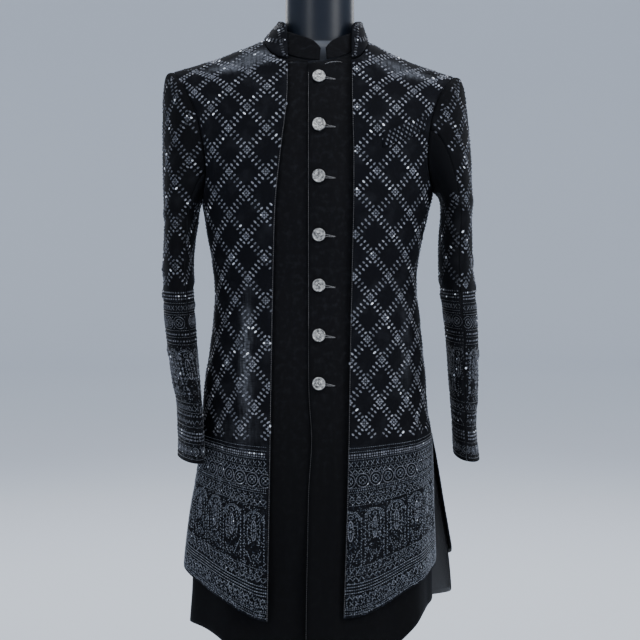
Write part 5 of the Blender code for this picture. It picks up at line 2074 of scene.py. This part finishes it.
@dataclass
class Collar:
    """A stand collar on a neckline."""

    node: str
    seam: np.ndarray
    rise: float
    sides: tuple[float, float, float]
    ends: tuple[float, float]
    heights: tuple[float, float, float]
    rounded: float
    cut: float
    thickness: float

    def skin(self, columns: int, rows: int) -> np.ndarray:
        """The band as a grid of points, seam first.

        Args:
            columns: How many columns the grid has.
            rows: How many rows the grid has.

        Returns:
            An array of points, row by row.
        """
        run = runs(self.seam, 0)
        side_x, front_y, back_y = self.sides
        end_z, side_z, back_z = self.heights
        grid = np.zeros((rows + 1, columns + 1, 3))
        for column, u in enumerate(np.linspace(0.0, 1.0, columns + 1)):
            foot = np.array([np.interp(u * run[-1], run, self.seam[:, axis]) for axis in range(3)])
            foot[2] += self.rise
            side, end = (-1.0, self.ends[0]) if u < 0.5 else (1.0, self.ends[1])
            angle = between(180.0, end, abs(2.0 * u - 1.0))
            fore, out = swung(1.0, angle)
            if angle < 90.0:
                z = between(side_z, end_z, ((90.0 - angle) / (90.0 - end)) ** 1.5)
            else:
                z = between(side_z, back_z, float(smooth((angle - 90.0) / 90.0)))
            top = np.array([NECK_X + side * side_x * out, -(front_y if angle < 90.0 else back_y) * fore, z])
            corner = max(1.0 - min(u, 1.0 - u) / self.rounded, 0.0)
            share = np.linspace(0.0, 1.0, rows + 1)[:, None] * (1.0 - self.cut * corner ** 3)
            grid[:, column] = between(foot, top, share)
        return grid

    def cloth(self, columns: int, rows: int) -> Cloth:
        """The band as a piece of cloth.

        Args:
            columns: How many columns the grid has.
            rows: How many rows the grid has.

        Returns:
            The piece.
        """
        piece = Cloth(self.node, self.skin(columns, rows), self.thickness, NECK_X)
        run = runs(piece.face, 1)
        piece.s = run - 0.5 * run[:, -1:]
        piece.t = runs(piece.face, 0)
        return piece


@dataclass
class Welt:
    """The chest pocket's slanted welt."""

    wardrobe: Wardrobe
    inner: tuple[float, float] = (0.1000, 1.0690)
    outer: tuple[float, float] = (0.1650, 1.0955)
    width: float = 0.072
    height: float = 0.0230
    thickness: float = 0.0012
    rise: float = 0.0006
    rows: int = 8
    columns: int = 24
    bars: tuple[int, int] = (4, 9)
    bar_pitch: float = 0.0078
    bar_rise: float = 0.0054

    def build(self, front: Cloth) -> None:
        """Lay the welt on the left front and sew its short bars.

        Args:
            front: The left front.
        """
        grid = np.zeros((self.rows + 1, self.columns + 1, 3))
        for row, column in np.ndindex(self.rows + 1, self.columns + 1):
            x, z = (between(low, high, column / self.columns) for low, high in zip(self.inner, self.outer))
            spot = front.seen_at(x, z + self.height * row / self.rows)
            grid[row, column] = spot.place + spot.normal * self.rise
        piece = Cloth("pocket_welt", grid, self.thickness)
        piece.t, piece.s = np.meshgrid(np.linspace(0.0, self.height, self.rows + 1),
                                       np.linspace(0.0, self.width, self.columns + 1), indexing="ij")
        work = Beadwork(piece, 41)
        for row, column in np.ndindex(*self.bars):
            work.sew(Bead.SEQUIN, 0.005 + self.bar_pitch * column + 0.0020 * row, 0.0035 + self.bar_rise * row,
                     turn=118.0, length=0.0052, width=0.0030, height=0.0008, tilt=9.0)
        work.finish(self.wardrobe.shaded_beads, "outer_velvet")
        item = self.wardrobe.hang(piece, self.wardrobe.outer, "outer_velvet", "laid", "outer_front_left_cloth")
        item.modifiers["wall"].thickness = self.thickness


@dataclass
class Fastenings:
    """Cast buttons on shanks down the lap, each with a worked hole."""

    wardrobe: Wardrobe
    heights: tuple[float, ...] = (1.1735, 1.1025, 1.0270, 0.9400, 0.8635, 0.7880, 0.7155)
    x: float = 0.0045
    radius: float = 0.0100
    depth: float = 0.0046
    shank: float = 0.0018
    shank_radius: float = 0.0030
    hole_start: float = 0.0050
    hole: float = 0.0180
    hole_stitches: int = 22
    # Shares of the radius and of the depth, from the middle of the face round the rim to the back.
    profile: tuple[tuple[float, float], ...] = (
        (0.0, 0.66), (0.55, 0.66), (0.76, 0.60), (0.82, 0.72), (0.90, 0.80), (0.97, 0.66), (1.0, 0.36), (0.95, 0.08),
        (0.86, 0.0))

    def button(self, number: int, place: Vector, normal: Vector) -> None:
        """One button: a turned body with a raised rim, a cast flower and a ring of grains.

        Args:
            number: Which button it is, from the top.
            place: Where it stands.
            normal: Which way it faces.
        """
        turned = [(self.radius * out, self.shank + self.depth * up) for out, up in self.profile]
        shape = spun(turned + [(self.shank_radius, self.shank), (self.shank_radius, 0.0), (0.0, 0.0)], 40)
        # Where each bump stands, its radius, its height as a share of that, and how fine it is.
        bumps = [(0.0, 0.0, 0.0021, 0.55, 2)]
        bumps += [(*swung(self.radius * 0.36, 45.0 * petal), 0.0016, 0.5, 2) for petal in range(8)]
        bumps += [(*swung(self.radius * 0.63, 20.0 * (grain + 0.5)), 0.0010, 0.55, 1) for grain in range(18)]
        for x, y, size, flat, fineness in bumps:
            matrix = Matrix.Translation((x, y, turned[0][1])) @ Matrix.Diagonal((1.0, 1.0, flat, 1.0))
            bmesh.ops.create_icosphere(shape, subdivisions=fineness, radius=size, matrix=matrix)
        facing = Vector((0.0, 0.0, 1.0)).rotation_difference(normal).to_matrix().to_4x4()
        bmesh.ops.transform(shape, matrix=Matrix.Translation(place) @ facing, verts=shape.verts[:])
        for patch in shape.faces:
            patch.smooth = True
        fit(new_piece("button_%d_cast" % number, shape, self.wardrobe.silver), "button_%d" % number)

    def worked_hole(self, number: int, cloth: Cloth, s: float, t: float) -> None:
        """One worked hole: close stitches along both lips and a bar at the end.

        Args:
            number: Which button it is, from the top.
            cloth: The lapped front.
            s: How far round the button is.
            t: How high the button is on the flat cloth.
        """
        work = Beadwork(cloth, 50 + number)
        start = s + self.hole_start
        for index in range(self.hole_stitches):
            share = (index + 0.5) / self.hole_stitches
            for hand in (-1.0, 1.0):
                lip = hand * between(0.0020, 0.0004, share) - 0.0012 - 0.0022 * share
                work.stitch(start + self.hole * share, t + lip, turn=70.0, length=0.0017, width=0.0011, height=0.0007)
        for index in range(3):
            work.stitch(start + self.hole + 0.0006 * index, t - 0.0034, turn=0.0, length=0.0022, width=0.0012,
                        height=0.0007)
        work.finish({Bead.STITCH: self.wardrobe.hole}, "thread", "buttonhole_%d" % number)

    def build(self, front: Cloth) -> None:
        """Sew on every button and work every hole."""
        for number, z in enumerate(self.heights, start=1):
            spot = front.seen_at(self.x, z)
            self.button(number, spot.place + spot.normal * 0.0003, spot.normal)
            row = int(np.argmin(np.abs(front.face[:, 10, 2] - z)))
            s, t, level = (float(np.interp(self.x, front.face[row, :, 0], values[row]))
                           for values in (front.s, front.t, front.face[..., 2]))
            self.worked_hole(number, front, s, t + z - level)


@dataclass
class DressForm:
    """The limbless form with its neck, pole and base."""

    wardrobe: Wardrobe
    bottom: float = 0.600
    arm_width: float = 0.166
    points: int = 112
    neck_z: float = 1.222
    pole: float = 0.0140
    base: float = 0.170
    base_height: float = 0.014
    # Height, half width and half depth of the neck, up to its rounded cap.
    neck: tuple[tuple[float, float, float], ...] = (
        (1.2280, 0.0545, 0.0540), (1.2360, 0.0537, 0.0533), (1.2500, 0.0532, 0.0530), (1.3000, 0.0530, 0.0530),
        (1.3350, 0.0530, 0.0530), (1.3390, 0.0520, 0.0520), (1.3425, 0.0497, 0.0497), (1.3445, 0.0465, 0.0465),
        (1.3450, 0.0430, 0.0430))

    def width(self, face: Face, side: Side, z: float) -> float:
        """Half width of the form at a height, under the shoulder ridge.

        Args:
            face: Front or back.
            side: The wearer's right or left.
            z: The height.

        Returns:
            The half width.
        """
        wide = min(float(half_width(face, side, min(z, 1.10))) + FORM_LINE, self.arm_width)
        low, high = 0.0, wide
        if float(ridge_height(side, wide)) + FORM_SETTLED > z:
            return wide
        for _ in range(30):
            trial = 0.5 * (low + high)
            if float(ridge_height(side, trial)) + FORM_SETTLED > z:
                low = trial
            else:
                high = trial
        return low

    def swings(self) -> list[float]:
        """Degrees round a level section."""
        return [360.0 * index / self.points for index in range(self.points)]

    def ring(self, z: float, tuck: float) -> list[Vector]:
        """One level section of the torso.

        Args:
            z: The section's height.
            tuck: How far the section is drawn in.

        Returns:
            The section's points.
        """
        ring = []
        widths = {(face, side): self.width(face, side, z) for face in Face for side in Side}
        trim = (1.0 - 0.07 * smooth((z - 1.190) / 0.030)) * tuck
        for swing in self.swings():
            face = Face.FRONT if cosine(swing) >= 0.0 else Face.BACK
            side = Side.LEFT if sine(swing) >= 0.0 else Side.RIGHT
            angle = abs((swing + 90.0) % 180.0 - 90.0)
            x = widths[face, side] * sine(angle) ** (2.0 / ROUNDNESS)
            depth = (GIRTHS(face.word, z) + FORM_LINE) * max(cosine(angle), 0.0) ** (2.0 / ROUNDNESS)
            depth *= closing(side, x, z, FORM_SETTLED)
            ring.append(Vector((side.value * x * trim, face.value * depth * trim, z)))
        return ring

    def body(self) -> None:
        """The torso and neck: rings bridged from the underside to the neck's cap."""
        levels = [(self.bottom, 0.90), (self.bottom + 0.003, 0.95), (self.bottom + 0.007, 0.985)]
        levels += [(float(z), 1.0) for z in np.linspace(self.bottom + 0.012, CHEST_Z, 30)]
        levels += [(between(CHEST_Z, self.neck_z, float(sine(turn))), 1.0) for turn in np.linspace(0.0, 90.0, 15)[1:]]
        sections = [self.ring(z, tuck) for z, tuck in levels]
        for z, wide, deep in self.neck:
            sections.append([Vector((NECK_X + wide * sine(swing), -deep * cosine(swing), z))
                             for swing in self.swings()])
        shape = bmesh.new()
        last: list = []
        for ring in sections:
            verts = [shape.verts.new(place) for place in ring]
            edges = [shape.edges.new(pair) for pair in zip(verts, verts[1:] + verts[:1])]
            if last:
                bmesh.ops.bridge_loops(shape, edges=last + edges)
            last = edges
        open_edges = [edge for edge in shape.edges if edge.is_boundary]
        bmesh.ops.holes_fill(shape, edges=open_edges, sides=self.points)
        bmesh.ops.recalc_face_normals(shape, faces=shape.faces[:])
        self.keep(shape, "form_body_shell", "form_body", "gloss_black", self.wardrobe.gloss)

    def keep(self, shape: bmesh.types.BMesh, name: str, node: str, slot: str, finish: bpy.types.Material) -> None:
        """Turn a shape into a piece that stands for a node."""
        for patch in shape.faces:
            patch.smooth = len(patch.verts) == 4
        fit(new_piece(name, shape, finish), node)

    def build(self) -> None:
        """The form, the pole and the base."""
        self.body()
        low, high, p = self.base_height + 0.0003, self.bottom - 0.0003, self.pole
        pole = ((0.0, high), (p * 0.93, high), (p, high - 0.001), (p, low + 0.001), (p * 0.93, low), (0.0, low))
        self.keep(spun(pole, 96), "stand_pole_tube", "stand_pole", "steel", self.wardrobe.steel)
        b, h = self.base, self.base_height
        base = ((0.0, h), (b * 0.10, h), (b - 0.004, h - 0.0006), (b - 0.0016, h - 0.0018), (b - 0.0004, h - 0.0038),
                (b, h - 0.0060), (b, 0.0012), (b - 0.0012, 0.0), (0.0, 0.0))
        self.keep(spun(base, 96), "stand_base_plate", "stand_base", "steel", self.wardrobe.steel)


@dataclass
class Studio:
    """A pale floor and wall, soft lamps and the camera."""

    eye: tuple[float, float, float] = (0.0063, -2.5, 1.0)
    aim: tuple[float, float, float] = (0.0063, 0.0, 0.8025)
    lens: float = 89.83
    # Name, degrees round from the front, distance, height, width, length, power and the height it is aimed at.
    lamps: tuple[tuple, ...] = (
        ("left_softbox", -34.0, 2.6, 1.8, 0.50, 1.6, 20.0, 0.85),
        ("right_softbox", 54.0, 2.6, 1.8, 1.00, 1.6, 46.0, 0.85),
        ("top_softbox", 8.0, 1.4, 2.9, 1.8, 1.2, 26.0, 1.1),
        ("back_left_softbox", -150.0, 2.4, 2.2, 0.9, 1.6, 22.0, 0.85),
        ("back_right_softbox", 145.0, 2.4, 2.2, 0.9, 1.6, 22.0, 0.85),
    )

    def sweep(self) -> None:
        """A round floor that curves up into a low wall on every side."""
        flat, bend, wall = 7.0, 2.0, 1.6
        run = [(0.0, 0.0), (flat, 0.0)]
        run += [(flat + bend * float(sine(turn)), bend * (1.0 - float(cosine(turn)))) for turn in range(6, 91, 6)]
        shape = spun(run + [(flat + bend, bend + wall)], 72, 0.0001)
        for patch in shape.faces:
            patch.smooth = True
        if shape.faces[0].normal.z < 0.0:
            bmesh.ops.reverse_faces(shape, faces=shape.faces[:])
        new_piece("studio_sweep", shape, Paper().material())

    def stand(self, item: bpy.types.Object, place: tuple, aim: tuple) -> bpy.types.Object:
        """Put a lamp or the camera at a place, looking at another.

        Args:
            item: The lamp or camera.
            place: Where it stands.
            aim: What it looks at.

        Returns:
            The same lamp or camera.
        """
        item.location = place
        item.rotation_mode = "QUATERNION"
        item.rotation_quaternion = (Vector(aim) - Vector(place)).to_track_quat("-Z", "Y")
        bpy.context.scene.collection.objects.link(item)
        return item

    def build(self) -> None:
        """Set everything up."""
        self.sweep()
        for name, turn, distance, height, width, length, power, aim_z in self.lamps:
            lamp = bpy.data.lights.new(name, "AREA")
            lamp.shape = "RECTANGLE"
            lamp.size, lamp.size_y = width, length
            lamp.energy = power
            away, side = swung(distance, turn)
            self.stand(bpy.data.objects.new(name, lamp), (side, -away, height), (0.0, 0.0, aim_z))
        world = bpy.data.worlds.new("studio_air")
        world.use_nodes = True
        world.node_tree.nodes["Background"].inputs["Color"].default_value = (0.78, 0.84, 0.95, 1.0)
        world.node_tree.nodes["Background"].inputs["Strength"].default_value = 0.85
        bpy.context.scene.world = world
        camera = bpy.data.cameras.new("studio_camera")
        camera.lens = self.lens
        camera.sensor_width = 36.0
        item = bpy.data.objects.new("studio_camera", camera)
        bpy.context.scene.camera = self.stand(item, self.eye, self.aim)


# Each piece's creases: both ends on the flat cloth, then width and depth.
CREASES = {
    node: tuple(Crease(*row) for row in rows) for node, rows in {
        "outer_front_right": (
            (-0.168, 1.03, -0.12, 1.075, 0.006, 0.0016), (-0.165, 1.0, -0.128, 1.015, 0.005, 0.0012),
            (-0.16, 0.905, -0.11, 0.88, 0.007, 0.0014), (-0.1, 0.85, -0.158, 0.858, 0.006, 0.0012),
            (-0.112, 0.86, -0.118, 0.62, 0.01, 0.0022), (-0.09, 0.7, -0.086, 0.42, 0.009, 0.0018),
            (-0.15, 0.7, -0.16, 0.44, 0.008, 0.0016), (-0.075, 0.8, -0.077, 0.66, 0.005, 0.001),
        ),
        "outer_front_left": (
            (0.172, 1.04, 0.124, 1.06, 0.006, 0.0014), (0.17, 1.01, 0.135, 1.005, 0.005, 0.0012),
            (0.16, 0.88, 0.12, 0.9, 0.006, 0.0012), (0.158, 0.85, 0.105, 0.842, 0.006, 0.0012),
            (0.12, 0.78, 0.132, 0.52, 0.009, 0.0018), (0.075, 0.64, 0.07, 0.4, 0.008, 0.0014),
            (0.16, 0.74, 0.172, 0.56, 0.007, 0.0016),
        ),
        "outer_back": (
            (-0.15, 1.06, -0.08, 1.085, 0.007, 0.0016), (0.155, 1.05, 0.1, 1.09, 0.007, 0.0016),
            (-0.06, 0.905, 0.04, 0.89, 0.008, 0.0018), (-0.02, 0.87, 0.08, 0.862, 0.007, 0.0014),
            (-0.14, 0.88, -0.07, 0.865, 0.006, 0.0012), (-0.1, 0.84, -0.108, 0.52, 0.011, 0.0024),
            (0.03, 0.82, 0.036, 0.48, 0.01, 0.002), (0.12, 0.8, 0.128, 0.56, 0.009, 0.002),
            (-0.03, 0.7, -0.034, 0.43, 0.008, 0.0016),
        ),
        "inner_front_right": (
            (-0.024, 1.16, 0.0, 1.176, 0.005, 0.0008), (-0.04, 0.641, -0.018, 0.637, 0.0035, 0.0014),
            (-0.05, 0.56, -0.046, 0.38, 0.008, 0.0012), (-0.046, 0.47, -0.062, 0.478, 0.003, 0.0008),
        ),
        "inner_front_left": (
            (0.012, 1.19, 0.04, 1.182, 0.004, 0.0006), (0.014, 1.16, 0.042, 1.166, 0.004, 0.0008),
            (0.01, 1.135, 0.03, 1.15, 0.004, 0.0006), (0.014, 0.632, 0.026, 0.629, 0.003, 0.001),
            (0.032, 0.62, 0.036, 0.42, 0.009, 0.0012), (0.0, 0.905, 0.03, 0.9, 0.005, 0.0006),
            (0.002, 0.826, 0.034, 0.832, 0.005, 0.0006),
        ),
        "sleeve_top_right": (
            (-0.06, 0.87, 0.04, 0.885, 0.008, 0.0022), (-0.03, 0.845, 0.07, 0.838, 0.007, 0.002),
            (-0.08, 0.93, 0.0, 0.905, 0.008, 0.0018), (0.0, 0.96, 0.08, 0.985, 0.008, 0.0018),
            (-0.07, 1.02, -0.02, 1.08, 0.007, 0.0014), (0.04, 1.04, 0.075, 1.09, 0.007, 0.0016),
            (-0.04, 0.76, 0.03, 0.748, 0.007, 0.0014), (0.0, 0.69, 0.07, 0.702, 0.006, 0.0012),
        ),
        "sleeve_top_left": (
            (-0.05, 0.86, 0.04, 0.848, 0.008, 0.0022), (-0.03, 0.885, 0.05, 0.905, 0.007, 0.0018),
            (-0.07, 0.94, 0.01, 0.925, 0.008, 0.0016), (0.0, 0.975, 0.06, 1.0, 0.008, 0.0016),
            (-0.06, 1.03, -0.02, 1.085, 0.007, 0.0014), (-0.04, 0.74, 0.03, 0.752, 0.007, 0.0014),
            (-0.01, 0.68, 0.05, 0.668, 0.006, 0.0012),
        ),
        "sleeve_under_right": (
            (-0.05, 0.86, 0.04, 0.872, 0.007, 0.0016), (-0.04, 0.83, 0.03, 0.822, 0.006, 0.0014),
        ),
        "sleeve_under_left": (
            (-0.05, 0.87, 0.04, 0.858, 0.007, 0.0016), (-0.03, 0.835, 0.04, 0.842, 0.006, 0.0014),
        ),
    }.items()
}


def main() -> None:
    """Build the coat, the form and the studio in order."""
    logging.basicConfig(level=logging.INFO, format="%(message)s")
    wardrobe = Wardrobe()
    DressForm(wardrobe).build()
    inner_coat = InnerCoat(wardrobe)
    inner = inner_coat.build()
    outer_coat = OuterCoat(wardrobe)
    outer = outer_coat.build()
    outer_coat.collar(outer)
    inner_coat.collar(inner)
    Welt(wardrobe).build(outer["outer_front_left"])
    Fastenings(wardrobe).build(inner["inner_front_left"])
    Studio().build()


if __name__ == "__main__":
    main()
